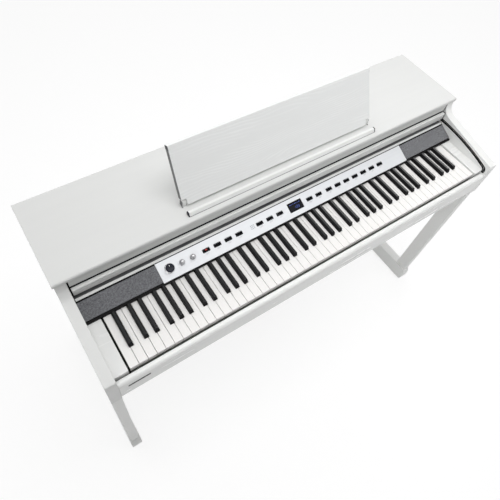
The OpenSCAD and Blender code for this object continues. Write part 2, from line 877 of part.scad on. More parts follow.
// The stay: a flat bar on a thin pivot rod behind the board, its tip down on the lid.
module rest_stay() {
    color("dimgray") on_board() translate([0, stay_off, stay_at]) {
        rotate([0, 90, 0]) cylinder(d = stay_pin_dia, h = stay_w + 2 * ear_w, center = true);
        rotate([board_lean - stay_a, 0, 0]) {
            translate([-stay_w / 2, 0, -stay_t / 2]) cube([stay_w, stay_l, stay_t]);
            rotate([0, 90, 0]) cylinder(d = stay_t, h = stay_w, center = true);
            translate([0, stay_l, 0]) rotate([0, 90, 0])
                cylinder(d = stay_t, h = stay_w, center = true);
        }
    }
}

// ---------------------------------------------------------------- insides

module speakers() {
    r = speaker_dia / 2;
    color("dimgray") for (x = [-speaker_x, speaker_x]) translate([x, speaker_y, bed_top])
        rotate_extrude() polygon([[r - 13, 0], [r, 0], [r, 4], [r - 8, 4], [34, 40], [42, 40],
            [42, 62], [0, 62], [0, 34], [28, 34]]);
}

// The main circuit board on its four posts, with its larger parts.
module circuit_board() {
    y0 = rear_y - circuit_set;
    z0 = bed_top + 8;
    color("darkgreen") block([-circuit_w / 2, y0, z0], [circuit_w / 2, y0 + 110, z0 + 1.6]);
    color("silver") for (x = [-1, 1], y = [8, 102])
        translate([x * (circuit_w / 2 - 8), y0 + y, bed_top]) cylinder(d = 6, h = 8);
    color("black") {
        translate([-40, y0 + 40, z0 + 1.6]) cube([28, 28, 3]);
        translate([30, y0 + 30, z0 + 1.6]) cube([60, 14, 22]);
        for (x = [-110, -90, -70]) translate([x, y0 + 84, z0 + 1.6]) cylinder(d = 12, h = 24);
    }
}

// ---------------------------------------------------------------- nodes

side_left();
side_right();
leg_left();
leg_right();
foot_left();
foot_right();
rear_leg_left();
rear_leg_right();
glides();
modesty_panel();
pedal_box();
pedal_left();
pedal_middle();
pedal_right();
key_bed();
key_slip();
cheek_left();
cheek_right();
lid();
fascia();
back_panel();
jack_panel();
key_cover();
cover_lip();
panel_frame();
control_panel();
panel_trim();
grille_left();
grille_right();
display();
volume_knob();
tone_knob_left();
tone_knob_right();
buttons(FUNCTION_X);  // buttons_function
buttons(TRANSPORT_X);  // buttons_transport
buttons(SELECT_X);  // buttons_select
buttons(VOICE_X);  // buttons_voice
music_board();
rest_ledge();
rest_hinge();
rest_stay();
key_frame();
speakers();
circuit_board();
white_keys(0, MIDDLE_C - 1);  // white_keys_low
black_keys(0, MIDDLE_C - 1);  // black_keys_low
white_keys(MIDDLE_C + OCTAVE, WHITE_COUNT - 1);  // white_keys_high
black_keys(MIDDLE_C + OCTAVE, WHITE_COUNT - 1);  // black_keys_high
white_key(MIDDLE_C);  // key_c
black_key(MIDDLE_C);  // key_c_sharp
white_key(MIDDLE_C + 1);  // key_d
black_key(MIDDLE_C + 1);  // key_d_sharp
white_key(MIDDLE_C + 2);  // key_e
white_key(MIDDLE_C + 3);  // key_f
black_key(MIDDLE_C + 3);  // key_f_sharp
white_key(MIDDLE_C + 4);  // key_g
black_key(MIDDLE_C + 4);  // key_g_sharp
white_key(MIDDLE_C + 5);  // key_a
black_key(MIDDLE_C + 5);  // key_a_sharp
white_key(MIDDLE_C + 6);  // key_b
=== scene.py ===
"""Digital piano on its own stand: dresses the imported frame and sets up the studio."""
import json
import math

import bmesh
import bpy
from mathutils import Matrix, Vector


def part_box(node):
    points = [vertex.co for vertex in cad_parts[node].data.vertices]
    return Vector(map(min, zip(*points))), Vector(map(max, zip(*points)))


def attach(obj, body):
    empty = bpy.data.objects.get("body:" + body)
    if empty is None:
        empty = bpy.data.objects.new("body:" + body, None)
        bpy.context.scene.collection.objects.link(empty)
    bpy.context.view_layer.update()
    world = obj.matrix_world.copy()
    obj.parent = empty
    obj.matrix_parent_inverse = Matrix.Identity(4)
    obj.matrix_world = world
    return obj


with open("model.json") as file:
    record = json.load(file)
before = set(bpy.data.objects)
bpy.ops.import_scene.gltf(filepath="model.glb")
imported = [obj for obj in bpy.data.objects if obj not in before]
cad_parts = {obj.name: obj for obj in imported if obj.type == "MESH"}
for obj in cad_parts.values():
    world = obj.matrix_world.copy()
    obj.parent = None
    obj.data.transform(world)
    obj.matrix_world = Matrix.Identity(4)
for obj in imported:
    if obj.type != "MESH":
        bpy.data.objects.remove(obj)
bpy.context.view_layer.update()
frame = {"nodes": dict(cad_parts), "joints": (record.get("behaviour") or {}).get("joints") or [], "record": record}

MM = 0.001
NODES = frame["nodes"]
SINE_TURN = 6.283  # one turn of the waves that draw lines and threads
SHARP = 32  # edges bent by more degrees than this are rounded


# ------ node trees


def feed(target, value):
    """Links a socket to the output that feeds it, or gives it a plain value."""
    if isinstance(value, bpy.types.NodeSocket):
        target.id_data.links.new(value, target)
    else:
        target.default_value = value


def node(tree, kind, feeds=None, **settings):
    """Adds a shader node, and feeds each socket named in feeds."""
    made = tree.nodes.new("ShaderNode" + kind)
    for key, value in settings.items():
        setattr(made, key, value)
    for socket, value in (feeds or {}).items():
        feed(made.inputs[socket], value)
    return made


def sums(operation, a, b=0, c=0):
    """One Math node's output."""
    return node(a.id_data, "Math", {0: a, 1: b, 2: c}, operation=operation).outputs[0]


def times(a, b, plus=None):
    """The output of a * b, or of a * b + plus."""
    if plus is None:
        return sums("MULTIPLY", a, b)
    return sums("MULTIPLY_ADD", a, b, plus)


def spread(value, low, high, to_low=0, to_high=1):
    """The output of a clamped Map Range from low..high to to_low..to_high."""
    feeds = {"Value": value, "From Min": low, "From Max": high,
             "To Min": to_low, "To Max": to_high}
    return node(value.id_data, "MapRange", feeds).outputs["Result"]


def noise(vector, scale, detail=3, roughness=0.5, distortion=0):
    """One noise texture's output."""
    feeds = {"Vector": vector, "Scale": scale, "Detail": detail,
             "Roughness": roughness, "Distortion": distortion}
    return node(vector.id_data, "TexNoise", feeds).outputs["Fac"]


def stretched(vector, x, y, z):
    """The vector scaled by axis: a pattern is drawn out along the smallest scale."""
    feeds = {0: vector, 1: (x, y, z)}
    return node(vector.id_data, "VectorMath", feeds, operation="MULTIPLY").outputs[0]


def along(vector, axis):
    """The vector's part along X, Y or Z."""
    return node(vector.id_data, "SeparateXYZ", {0: vector}).outputs[axis]


def normal(at):
    """The way that the surface faces, in the tree of at."""
    return node(at.id_data, "NewGeometry").outputs["Normal"]


def group(name, **takes):
    """What the Vector and the number inputs of a new node group give."""
    tree = bpy.data.node_groups.new(name, "ShaderNodeTree")
    tree.interface.new_socket("Vector", in_out="INPUT", socket_type="NodeSocketVector")
    for label, default in takes.items():
        socket = tree.interface.new_socket(label, in_out="INPUT", socket_type="NodeSocketFloat")
        socket.default_value = default
    given = tree.nodes.new("NodeGroupInput").outputs
    return given["Vector"], given


def closed(at, **gives):
    """The group that at belongs to, once each of its number outputs is made and fed."""
    tree = at.id_data
    for label in gives:
        tree.interface.new_socket(label, in_out="OUTPUT", socket_type="NodeSocketFloat")
    end = tree.nodes.new("NodeGroupOutput")
    for label, value in gives.items():
        feed(end.inputs[label], value)
    return tree


def place(effect, vector, **feeds):
    """Places one of the effect groups in the vector's tree and returns its outputs."""
    return node(vector.id_data, "Group", {"Vector": vector, **feeds}, node_tree=effect).outputs


def emptied(block):
    """The node tree of a new material or world, emptied."""
    block.use_nodes = True
    block.node_tree.nodes.clear()
    return block.node_tree


# ------ effect groups


def paint_grain():
    """The grain of a board under paint: long streaks, and fine pores that sink in."""
    at, takes = group("paint_grain", Pores=0.5)
    streaks = noise(at, 60, 4, 0.6)
    pores = spread(noise(at, 240, 2), 0.56, 0.72)
    height = sums("SUBTRACT", streaks, times(pores, takes["Pores"]))
    return closed(at, Height=height, Tone=spread(streaks, 0.3, 0.7))


def ash_figure():
    """An embossed figure of long, nearly level lines that bend, swell and fade."""
    at, takes = group("ash_figure", Lines=150)
    flow = noise(stretched(at, 2.2, 2.2, 9), 1, 2, 0.5, 0.3)
    ripple = noise(stretched(at, 14, 14, 60), 1, 2)
    bent = times(flow, 9, times(along(at, "Z"), takes["Lines"]))
    bent = times(ripple, 1.1, bent)
    lines = spread(sums("SINE", times(bent, SINE_TURN)), -0.2, 1)
    fade = spread(noise(stretched(at, 4, 4, 40), 1), 0.4, 0.62)
    pores = noise(stretched(at, 30, 30, 900), 1, 2)
    relief = times(spread(pores, 0.5, 0.75), 0.3, times(lines, fade))
    return closed(at, Height=relief, Tone=spread(relief, 0, 1.1))


def orange_peel():
    """The fine ripple of sprayed paint or moulded plastic."""
    at, takes = group("orange_peel", Scale=700)
    fine = noise(at, takes["Scale"], 2)
    return closed(at, Height=fine, Tone=spread(noise(at, 9, 2), 0.35, 0.65))


def edge_wear():
    """A mask of the edges, broken up by a little noise."""
    at, takes = group("edge_wear", Radius=0.002)
    tree = at.id_data
    rounded = node(tree, "Bevel", {"Radius": takes["Radius"]}, samples=4).outputs["Normal"]
    alike = node(tree, "VectorMath", {0: rounded, 1: normal(at)}, operation="DOT_PRODUCT")
    edge = spread(alike.outputs["Value"], 0.99, 0.8)
    return closed(at, Mask=times(edge, spread(noise(at, 120), 0.3, 0.6, 0.35, 1)))


def dust_and_touch():
    """Settled dust on what faces up, and broad smudges from hands and cloths."""
    at, _ = group("dust_and_touch")
    up = spread(along(normal(at), "Z"), 0.6, 1)
    specks = spread(noise(at, 260, 4, 0.7), 0.5, 0.75)
    wiped = noise(stretched(at, 7, 16, 16), 1, 4, 0.6, 0.8)
    return closed(at, Dust=times(up, specks), Smudge=spread(wiped, 0.35, 0.65))


def brushed_lines():
    """Fine lines brushed into metal, drawn out along the smallest scale of the vector."""
    at, _ = group("brushed_lines")
    lines = noise(at, 1, 4, 0.65)
    mixed = times(noise(at, 0.15, 2), 0.5, times(lines, 0.5))
    return closed(at, Height=lines, Tone=spread(mixed, 0.35, 0.65))


def heather_weave():
    """A plain weave of threads that differ in shade."""
    at, takes = group("heather_weave", Pitch=1100)
    turn = times(takes["Pitch"], SINE_TURN)
    warp, weft = [sums("SINE", times(along(at, axis), turn)) for axis in "XY"]
    slubs_x = noise(stretched(at, 160, 900, 900), 1, 2, 0.6)
    slubs_y = noise(stretched(at, 900, 160, 900), 1, 2, 0.6)
    fibre = sums("ADD", slubs_x, slubs_y)
    height = times(fibre, 0.6, times(times(warp, weft), 0.5, 0.5))
    tone = times(fibre, 0.6, times(noise(at, 260, 3, 0.6), 0.9))
    return closed(at, Height=height, Tone=spread(tone, 0.8, 1.3))


PAINT_GRAIN = paint_grain()
ASH_FIGURE = ash_figure()
ORANGE_PEEL = orange_peel()
EDGE_WEAR = edge_wear()
MARKS = dust_and_touch()
BRUSHED_LINES = brushed_lines()
HEATHER_WEAVE = heather_weave()


# ------ materials


def material(name, **sockets):
    """A material of one Principled shader with these values, its inputs, and object space."""
    made = bpy.data.materials.new(name)
    tree = emptied(made)
    values = {key.replace("_", " "): value for key, value in sockets.items()}
    shader = node(tree, "BsdfPrincipled", values)
    node(tree, "OutputMaterial", {"Surface": shader.outputs[0]})
    return made, shader.inputs, node(tree, "TexCoord").outputs["Object"]


def blended(mask, a, b):
    """A colour from a to b by the mask."""
    mix = node(mask.id_data, "Mix", {"Factor": mask}, data_type="RGBA")
    for socket, value in (("A", a), ("B", b)):
        target = [i for i in mix.inputs if i.name == socket and i.type == "RGBA"][0]
        feed(target, value if isinstance(value, bpy.types.NodeSocket) else (*value, 1))
    return [o for o in mix.outputs if o.type == "RGBA"][0]


def laid(under, mask, share, over):
    """A colour with another laid over it, by a share of the mask."""
    return blended(times(mask, share), under, over)


def shaded(colour, by, plus=0):
    """A plain colour made lighter or darker by a factor, at most white."""
    return tuple(min(1, v * by + plus) for v in colour)


def dress(shader, colour, rough, height, strength, depth):
    """Feeds a shader its colour, its roughness and a relief of some depth in metres."""
    feed(shader["Base Color"], colour)
    feed(shader["Roughness"], rough)
    feeds = {"Height": height, "Strength": strength, "Distance": depth}
    feed(shader["Normal"], node(height.id_data, "Bump", feeds).outputs["Normal"])


def white_paint(name, axis, gloss, tint, pores=0.5, shine=0.5):
    """White paint on board. Its grain is drawn out along the axis; gloss is from 0 to 1."""
    made, shader, at = material("white_" + name, Specular_IOR_Level=shine)
    scales = [0.04 if each == axis else 1 for each in "XYZ"]
    grain = place(PAINT_GRAIN, stretched(at, *scales), Pores=pores)
    peel = place(ORANGE_PEEL, at, Scale=420)
    wear = place(EDGE_WEAR, at, Radius=0.0018)
    marks = place(MARKS, at)
    colour = blended(grain["Tone"], shaded(tint, 0.985), tint)
    colour = laid(colour, wear["Mask"], 0.35, (0.7, 0.69, 0.665))
    colour = laid(colour, marks["Dust"], 0.05, (0.62, 0.61, 0.59))
    low = 0.46 - 0.24 * gloss
    rough = times(grain["Tone"], -0.03, spread(marks["Smudge"], 0, 1, low, low + 0.02))
    height = times(peel["Height"], 0.25, grain["Height"])
    dress(shader, colour, rough, height, 0.11 - 0.1 * gloss, 0.0001)
    return made


def board_paint():
    """White paint that sinks into an embossed, wavy figure, on the music board."""
    made, shader, at = material("white_ash_board", Specular_IOR_Level=0.45)
    figure = place(ASH_FIGURE, at, Lines=150)
    wear = place(EDGE_WEAR, at, Radius=0.0015)
    marks = place(MARKS, at)
    side = along(normal(at), "X")
    flat = spread(sums("ABSOLUTE", side), 0.3, 0.6, 1, 0)
    tone = times(figure["Tone"], flat)
    colour = blended(tone, (0.842, 0.852, 0.847), (0.9, 0.91, 0.905))
    colour = laid(colour, wear["Mask"], 0.3, (0.66, 0.66, 0.64))
    rough = times(marks["Smudge"], 0.05, times(tone, -0.1, 0.46))
    dress(shader, colour, rough, times(figure["Height"], flat), 0.3, 0.0004)
    return made


def moulded(name, colour, rough=0.42, scale=900, strength=0.2, shine=0.3):
    """Plastic, rubber, paint or felt of one colour, finely textured and paler at its edges."""
    made, shader, at = material(name, Specular_IOR_Level=shine)
    peel = place(ORANGE_PEEL, at, Scale=scale)
    wear = place(EDGE_WEAR, at, Radius=0.0006)
    marks = place(MARKS, at)
    shade = blended(peel["Tone"], colour, shaded(colour, 1.35))
    shade = laid(shade, wear["Mask"], 0.4, shaded(colour, 2, 0.006))
    shade = laid(shade, marks["Dust"], 0.04, (0.14, 0.135, 0.13))
    worn = spread(marks["Smudge"], 0, 1, rough - 0.05, rough + 0.06)
    dress(shader, shade, worn, peel["Height"], strength, 0.0002)
    return made


def brushed_metal(name, colour, rough, scales, metallic=1, contrast=0.08):
    """Brushed metal, its lines drawn out along the smallest of the scales."""
    made, shader, at = material(name, Metallic=metallic)
    lines = place(BRUSHED_LINES, stretched(at, *scales))
    wear = place(EDGE_WEAR, at, Radius=0.0006)
    marks = place(MARKS, at)
    shade = blended(lines["Tone"], shaded(colour, 1 - contrast), colour)
    shade = laid(shade, wear["Mask"], 0.5, shaded(colour, 1.12))
    worn = times(marks["Smudge"], 0.05, times(lines["Tone"], 0.1, rough - 0.05))
    dress(shader, shade, worn, lines["Height"], 0.12, 0.00008)
    return made


def key_plastic(name, base, rough, scale, strength, grain, shine=0.5, polish=0):
    """The moulded cap of a key, its faint grain drawn out along it. Polish is on its top only."""
    made, shader, at = material(name, Specular_IOR_Level=shine, Coat_Roughness=0.14, Coat_IOR=1.7)
    if polish > 0:
        up = along(normal(at), "Z")
        feed(shader["Coat Weight"], spread(up, 0.8, 0.97, 0, polish))
    fine = place(PAINT_GRAIN, stretched(at, 3.2, 0.12, 3.2), Pores=0.3)
    peel = place(ORANGE_PEEL, at, Scale=scale)
    marks = place(MARKS, stretched(at, 3, 1, 1))
    wear = place(EDGE_WEAR, at, Radius=0.0007)
    shade = laid(shaded(base, grain), fine["Tone"], 0.6, base)
    shade = laid(shade, wear["Mask"], 0.25, shaded(base, 0.9, 0.03))
    worn = spread(marks["Smudge"], 0, 1, rough, rough + 0.08)
    dress(shader, shade, worn, times(fine["Height"], 0.6, peel["Height"]), strength, 0.0001)
    return made


def grille_cloth():
    """The grey woven cloth over the loudspeakers."""
    made, shader, at = material(
        "grille_cloth", Sheen_Weight=0.5, Sheen_Roughness=0.5, Specular_IOR_Level=0.2)
    weave = place(HEATHER_WEAVE, at, Pitch=800)
    marks = place(MARKS, at)
    shade = blended(weave["Tone"], (0.088, 0.09, 0.096), (0.24, 0.245, 0.26))
    shade = laid(shade, marks["Dust"], 0.1, (0.35, 0.34, 0.33))
    rough = spread(weave["Tone"], 0, 1, 0.92, 0.78)
    dress(shader, shade, rough, weave["Height"], 0.6, 0.0004)
    return made


def display_glass():
    """The display's window: nearly black, with a faint wave and fingerprints."""
    made, shader, at = material("display_glass", Specular_IOR_Level=0.13)
    marks = place(MARKS, at)
    peel = place(ORANGE_PEEL, at, Scale=60)
    shade = blended(peel["Tone"], (0.003, 0.0035, 0.006), (0.005, 0.006, 0.01))
    shade = laid(shade, marks["Dust"], 0.03, (0.1, 0.1, 0.11))
    rough = spread(marks["Smudge"], 0, 1, 0.16, 0.24)
    dress(shader, shade, rough, peel["Height"], 0.03, 0.0002)
    return made


def lit_plastic(name, colour, glow, strength):
    """A lamp's lens or a lit segment, its light broken up by a fine ripple."""
    made, shader, at = material(name, Emission_Strength=strength)
    ripple = place(ORANGE_PEEL, at, Scale=900)["Height"]
    flicker = spread(ripple, 0.3, 0.7)
    feed(shader["Emission Color"], blended(flicker, shaded(glow, 0.8), glow))
    dress(shader, blended(flicker, shaded(colour, 0.7), colour), 0.3, ripple, 0.1, 0.0001)
    return made


WOOD_TINT = (0.84, 0.845, 0.832)
LINES_DOWN = (400, 400, 60)  # brushed along Z
WOOD_UPRIGHT = white_paint("paint_upright_grain", "Z", 0.3, WOOD_TINT)
WOOD_LEVEL = white_paint("paint_level_grain", "X", 0.3, WOOD_TINT)
WOOD_DEEP = white_paint("paint_deep_grain", "Y", 0.3, WOOD_TINT)
GLOSS = white_paint("gloss_paint", "X", 0.8, (0.835, 0.84, 0.83), 0.05)
# A darker copy of the white paint, as painted shade on the cover's lip, the trim, the key cover and the hinge
# blocks.
LIP_SHADED_PAINT = white_paint("lip_shaded_paint", "X", 0.8, (0.69, 0.695, 0.685), 0.05)
# A darker copy of the white paint, as painted shade on the fascia under the lid's edge.
FASCIA_SHADED_PAINT = white_paint("fascia_shaded_paint", "X", 0.55, (0.645, 0.655, 0.64), 0.2)
# A darker copy of the white paint, as painted shade on the lid and its front edge.
LID_SHADED_PAINT = white_paint("lid_shaded_paint", "X", 0.6, (0.72, 0.725, 0.715), 0.2, 0.25)
# One white paint for both side panels: the left is darker as painted shade, the right lighter as painted light.
SIDE_LEFT_SHADED_PAINT = white_paint("side_left_shaded_paint", "Z", 0.3, (0.7, 0.705, 0.695))
SIDE_RIGHT_LIT_PAINT = white_paint("side_right_lit_paint", "Z", 0.3, (0.85, 0.855, 0.842))
BOARD = board_paint()
BLACK = moulded("black_plastic", (0.006, 0.006, 0.007))
BUTTON_BLACK = moulded("button_rubber", (0.003, 0.003, 0.004), 0.55, 1400, 0.15, 0.07)
KNOB_BLACK = moulded("knob_black", (0.006, 0.007, 0.014), 0.35, 1100, 0.15, 0.25)
# Near-black for linings, button wells, the panel frame and screw crosses; in gaps, slots and recesses it is also
# painted shade.
BLACK_LINING_AND_SHADE = moulded("black_lining_and_shade", (0.003, 0.003, 0.003), 0.6, 900, 0.2, 0.15)
PALE_FELT = moulded("felt_pale", (0.42, 0.42, 0.41), 0.9, 1600, 0.5, 0.1)
# Grey felt, whose grey also stands as painted shade in the opening under the lip.
GREY_FELT_AND_SHADE = moulded("grey_felt_and_shade", (0.15, 0.152, 0.156), 0.9, 1600, 0.5, 0.1)
RUBBER = moulded("glide_rubber", (0.012, 0.012, 0.012), 0.7, 500, 0.4)
SPEAKER_BLACK = moulded("loudspeaker_black", (0.015, 0.015, 0.016), 0.55, 300, 0.4)
STAY_PAINT = moulded("stay_paint", (0.1, 0.1, 0.105), 0.42, 500, 0.25, 0.45)
PRINT = moulded("print_grey", (0.36, 0.37, 0.39), 0.55, 1200, 0.1)
DOT_GREY = moulded("dot_grey", (0.2, 0.23, 0.26), 0.55, 1200, 0.1)
# Grey painted shadow along the ledge's foot.
LEDGE_SHADE_GREY = moulded("ledge_shade_grey", (0.24, 0.242, 0.245), 0.6, 900, 0.15, 0.2)
# Grey painted shade on the ends of the music board and its hinges.
END_SHADE_GREY = moulded("end_shade_grey", (0.13, 0.132, 0.135), 0.5, 900, 0.15, 0.3)
SILVER = brushed_metal(
    "panel_silver", (0.775, 0.79, 0.812), 0.42, (9, 1500, 1500), 0.25, 0.04)
KNOB_METAL = brushed_metal("knob_silver", (0.8, 0.8, 0.81), 0.24, LINES_DOWN, 0.7)
# The small knobs' silver is made darker, as painted shade on them.
SMALL_KNOB_SHADED_METAL = brushed_metal("small_knob_shaded_silver", (0.44, 0.44, 0.45), 0.24, LINES_DOWN, 0.9)
BRASS = brushed_metal("pedal_brass", (0.8, 0.6, 0.28), 0.2, (900, 25, 900), 1, 0.12)
STEEL = brushed_metal(
    "chassis_steel", (0.62, 0.62, 0.6), 0.36, (30, 800, 800), 1, 0.15)
SCREW_STEEL = brushed_metal(
    "screw_steel", (0.62, 0.61, 0.59), 0.28, (700, 700, 80), 1, 0.15)
CLOTH = grille_cloth()
GLASS = display_glass()
WHITE_KEY = key_plastic("white_key_caps", (0.88, 0.868, 0.852), 0.28, 500, 0.04, 0.99)
BLACK_KEY = key_plastic(
    "black_key_caps", (0.008, 0.008, 0.009), 0.4, 700, 0.15, 0.7, 0.12, 1)
CIRCUIT = moulded("circuit_green", (0.01, 0.1, 0.045), 0.3, 220, 0.3)
BLUE_LIT = lit_plastic("segment_blue", (0.02, 0.05, 0.3), (0.1, 0.2, 0.9), 0.4)
RED_LIT = lit_plastic("lamp_red", (0.35, 0.02, 0.02), (1, 0.06, 0.03), 0.35)


# ------ carried-over solids


def soften(made, edge, steps):
    """Shades a mesh smooth and rounds its sharp edges by some millimetres."""
    made.data.polygons.foreach_set("use_smooth", [True] * len(made.data.polygons))
    round_edge = made.modifiers.new("round_edges", "BEVEL")
    round_edge.width = edge * MM
    round_edge.segments = steps
    round_edge.limit_method = "ANGLE"
    round_edge.angle_limit = math.radians(SHARP)
    round_edge.harden_normals = True


def finish(names, paint, edge=0.8, steps=2):
    """Gives CAD nodes their material and rounds their sharp edges a little."""
    for name in names.split():
        solid = NODES[name]
        mesh = solid.data
        mesh.materials.clear()
        mesh.materials.append(paint)
        if "custom_normal" in mesh.attributes:
            mesh.attributes.remove(mesh.attributes["custom_normal"])
        weld = solid.modifiers.new("join_faces", "WELD")
        weld.merge_threshold = 0.02 * MM
        flat = solid.modifiers.new("clean_faces", "DECIMATE")
        flat.decimate_type = "DISSOLVE"
        flat.angle_limit = math.radians(0.3)
        soften(solid, edge, steps)


finish("side_left", SIDE_LEFT_SHADED_PAINT, 1.2)
finish("side_right", SIDE_RIGHT_LIT_PAINT, 1.2)
finish("leg_left leg_right rear_leg_left rear_leg_right", WOOD_UPRIGHT, 1.2)
finish("foot_left foot_right", WOOD_DEEP, 1.2)
finish("modesty_panel back_panel key_bed pedal_box", WOOD_LEVEL, 1)
finish("lid", LID_SHADED_PAINT, 1)
finish("fascia", FASCIA_SHADED_PAINT, 0.7)
finish("cover_lip key_cover panel_trim", LIP_SHADED_PAINT, 0.7)
finish("rest_ledge", GLOSS, 0.7)
finish("key_slip cheek_left cheek_right", GLOSS, 1.2)
finish("music_board", BOARD, 1)
# The frame's black also stands as painted shadow in the gap behind the keys.
finish("panel_frame", BLACK_LINING_AND_SHADE, 0.5)
finish("jack_panel", BLACK, 0.5)
finish("rest_hinge", LIP_SHADED_PAINT, 0.5)
finish("glides", RUBBER, 1)
finish("buttons_function buttons_transport buttons_select buttons_voice", BUTTON_BLACK, 0.6)
finish("volume_knob", KNOB_METAL, 0.4)
finish("tone_knob_left tone_knob_right", SMALL_KNOB_SHADED_METAL, 0.4)
finish("control_panel", SILVER, 0.4)
finish("grille_left grille_right", CLOTH, 1.5, 3)
finish("display", GLASS, 0.4)
finish("pedal_left pedal_middle pedal_right", BRASS, 1.6, 3)
finish("rest_stay", STAY_PAINT, 0.5)
finish("key_frame", STEEL, 0.3)
finish("speakers", SPEAKER_BLACK)
finish("circuit_board", CIRCUIT, 0.2)
finish("white_keys_low white_keys_high key_c key_d key_e key_f key_g key_a key_b", WHITE_KEY, 0.7)
finish("black_keys_low black_keys_high key_c_sharp key_d_sharp key_f_sharp key_g_sharp key_a_sharp",
       BLACK_KEY, 0.6)


# ------ measures from the frame


JOINTS = {joint["name"]: joint for joint in frame["joints"]}
MOUNTS = {mount["name"]: mount for mount in frame["record"]["mounts"]}
KNOB_AT = Vector(JOINTS["volume_knob_turn"]["pos_m"])
OUT_OF_PANEL = Vector(JOINTS["volume_knob_turn"]["axis"]).normalized()
UP_PANEL = Vector((0, OUT_OF_PANEL.z, -OUT_OF_PANEL.y))
BUTTONS = {"buttons_function": 4, "buttons_transport": 3, "buttons_select": 2, "buttons_voice": 7}
BUTTON_LENGTH = 20 * MM
BUTTON_WIDTH = 8 * MM
BUTTON_RISE = 2 * MM
KNOB_RADIUS = 12 * MM
SMALL_KNOB_RADIUS = 7 * MM
KNOB_HEIGHT = 13 * MM
BOARD_LEAN = math.radians(27)
BOARD_HALF = 8 * MM
GROOVE_DEPTH = 8 * MM
LEFT_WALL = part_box("side_left")[1].x
RIGHT_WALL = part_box("side_right")[0].x


def pin(joint):
    """The place of a joint."""
    return Vector(JOINTS[joint]["pos_m"])


def sloping(at, up, out):
    """A place whose X runs along the piano, Y up a slope and Z out of it."""
    turn = Matrix((Vector((1, 0, 0)), up, out)).transposed()
    return Matrix.Translation(at) @ turn.to_4x4()


def on_panel(x, up=0, out=0):
    """A place on the control panel: X runs along it, Y up its slope and Z out of it."""
    at = Vector((x, KNOB_AT.y, KNOB_AT.z)) + up * UP_PANEL + out * OUT_OF_PANEL
    return sloping(at, UP_PANEL, OUT_OF_PANEL)


def on_board(x, up=0, back=0):
    """A place on the music board at rest: X runs along it, Y up its slope, Z out of its front."""
    along_up = Vector((0, math.sin(BOARD_LEAN), math.cos(BOARD_LEAN)))
    along_back = Vector((0, math.cos(BOARD_LEAN), -math.sin(BOARD_LEAN)))
    at = pin("board_fold") + Vector((x, 0, 0)) + up * along_up + back * along_back
    return sloping(at, along_up, -along_back)


def facing(at, way):
    """A place whose Z axis points the given way."""
    return Matrix.Translation(at) @ Vector(way).to_track_quat("Z", "Y").to_matrix().to_4x4()


def near(at, *away):
    """A place some millimetres away from another, axis by axis."""
    return [start + step * MM for start, step in zip(at, away)]


def profile(at, *steps):
    """Points whose steps from a place are in millimetres."""
    return [near(at, *step) for step in steps]


def button_places(part):
    """The X of each button in a row that ends with a button at each end of its node."""
    low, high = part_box(part)
    step = (high.x - low.x - BUTTON_LENGTH) / (BUTTONS[part] - 1)
    return [low.x + BUTTON_LENGTH / 2 + i * step for i in range(BUTTONS[part])]


def surface(part):
    """How far a node of the control panel stands out of the plane of the knobs' feet."""
    return max((corner.co - KNOB_AT).dot(OUT_OF_PANEL) for corner in NODES[part].data.vertices)


# ------ shapes


def outward(shape):
    """The shape, with every face turned outward."""
    bmesh.ops.recalc_face_normals(shape, faces=shape.faces)
    return shape


def moved(shape, at):
    """The shape, taken to a place."""
    bmesh.ops.transform(shape, matrix=at, verts=shape.verts)
    return shape


def turned(points, around, flutes=0):
    """A shape turned round Z from (radius, height) points. Flutes dent every second step."""
    shape = bmesh.new()
    rings = []
    for radius, height in points:
        if radius == 0:
            rings.append([shape.verts.new((0, 0, height))])
            continue
        spots = []
        for i in range(around):
            angle = math.tau * i / around
            reach = radius - flutes * (i % 2)
            x, y = reach * math.cos(angle), reach * math.sin(angle)
            spots.append(shape.verts.new((x, y, height)))
        rings.append(spots)
    for low, high in zip(rings, rings[1:]):
        for i in range(around):
            j = (i + 1) % around
            below = low[i % len(low)], low[j % len(low)]
            above = high[j % len(high)], high[i % len(high)]
            corners = tuple(dict.fromkeys(below + above))
            if len(corners) > 2:
                shape.faces.new(corners)
    for end in (rings[0], rings[-1]):
        if len(end) > 1:
            shape.faces.new(end)
    return outward(shape)


def bridge(shape, a, b):
    """Joins two loops of corners by faces."""
    for i in range(len(a)):
        j = (i + 1) % len(a)
        shape.faces.new((a[i], a[j], b[j], b[i]))


def rim(outer, inner, low, high):
    """A flat ring between two outlines that have as many points as each other."""
    shape = bmesh.new()
    loops = []
    for outline, height in ((outer, low), (outer, high), (inner, high), (inner, low)):
        loops.append([shape.verts.new((x, y, height)) for x, y in outline])
    for a, b in zip(loops, loops[1:] + loops[:1]):
        bridge(shape, a, b)
    return outward(shape)


def circle(radius, around):
    """The outline of a circle."""
    angles = [math.tau * i / around for i in range(around)]
    return [(radius * math.cos(angle), radius * math.sin(angle)) for angle in angles]


def tube(outer, inner, low, high, around=36):
    """A ring round Z, between two radii and two heights in millimetres."""
    return rim(circle(outer * MM, around), circle(inner * MM, around), low * MM, high * MM)


def pulled(outline, low, high):
    """A shape pulled along Z from a closed outline of (x, y) points."""
    shape = bmesh.new()
    bottom = [shape.verts.new((x, y, low)) for x, y in outline]
    top = [shape.verts.new((x, y, high)) for x, y in outline]
    shape.faces.new(bottom)
    shape.faces.new(top)
    bridge(shape, bottom, top)
    return outward(shape)


def round_bar(length, width, radius, steps=4):
    """The outline of a bar along X with round corners, centred on its middle."""
    points = []
    for quarter, (sx, sy) in enumerate(((1, 1), (-1, 1), (-1, -1), (1, -1))):
        for i in range(steps + 1):
            angle = math.pi / 2 * (quarter + i / steps)
            points.append((sx * (length / 2 - radius) + radius * math.cos(angle),
                           sy * (width / 2 - radius) + radius * math.sin(angle)))
    return points


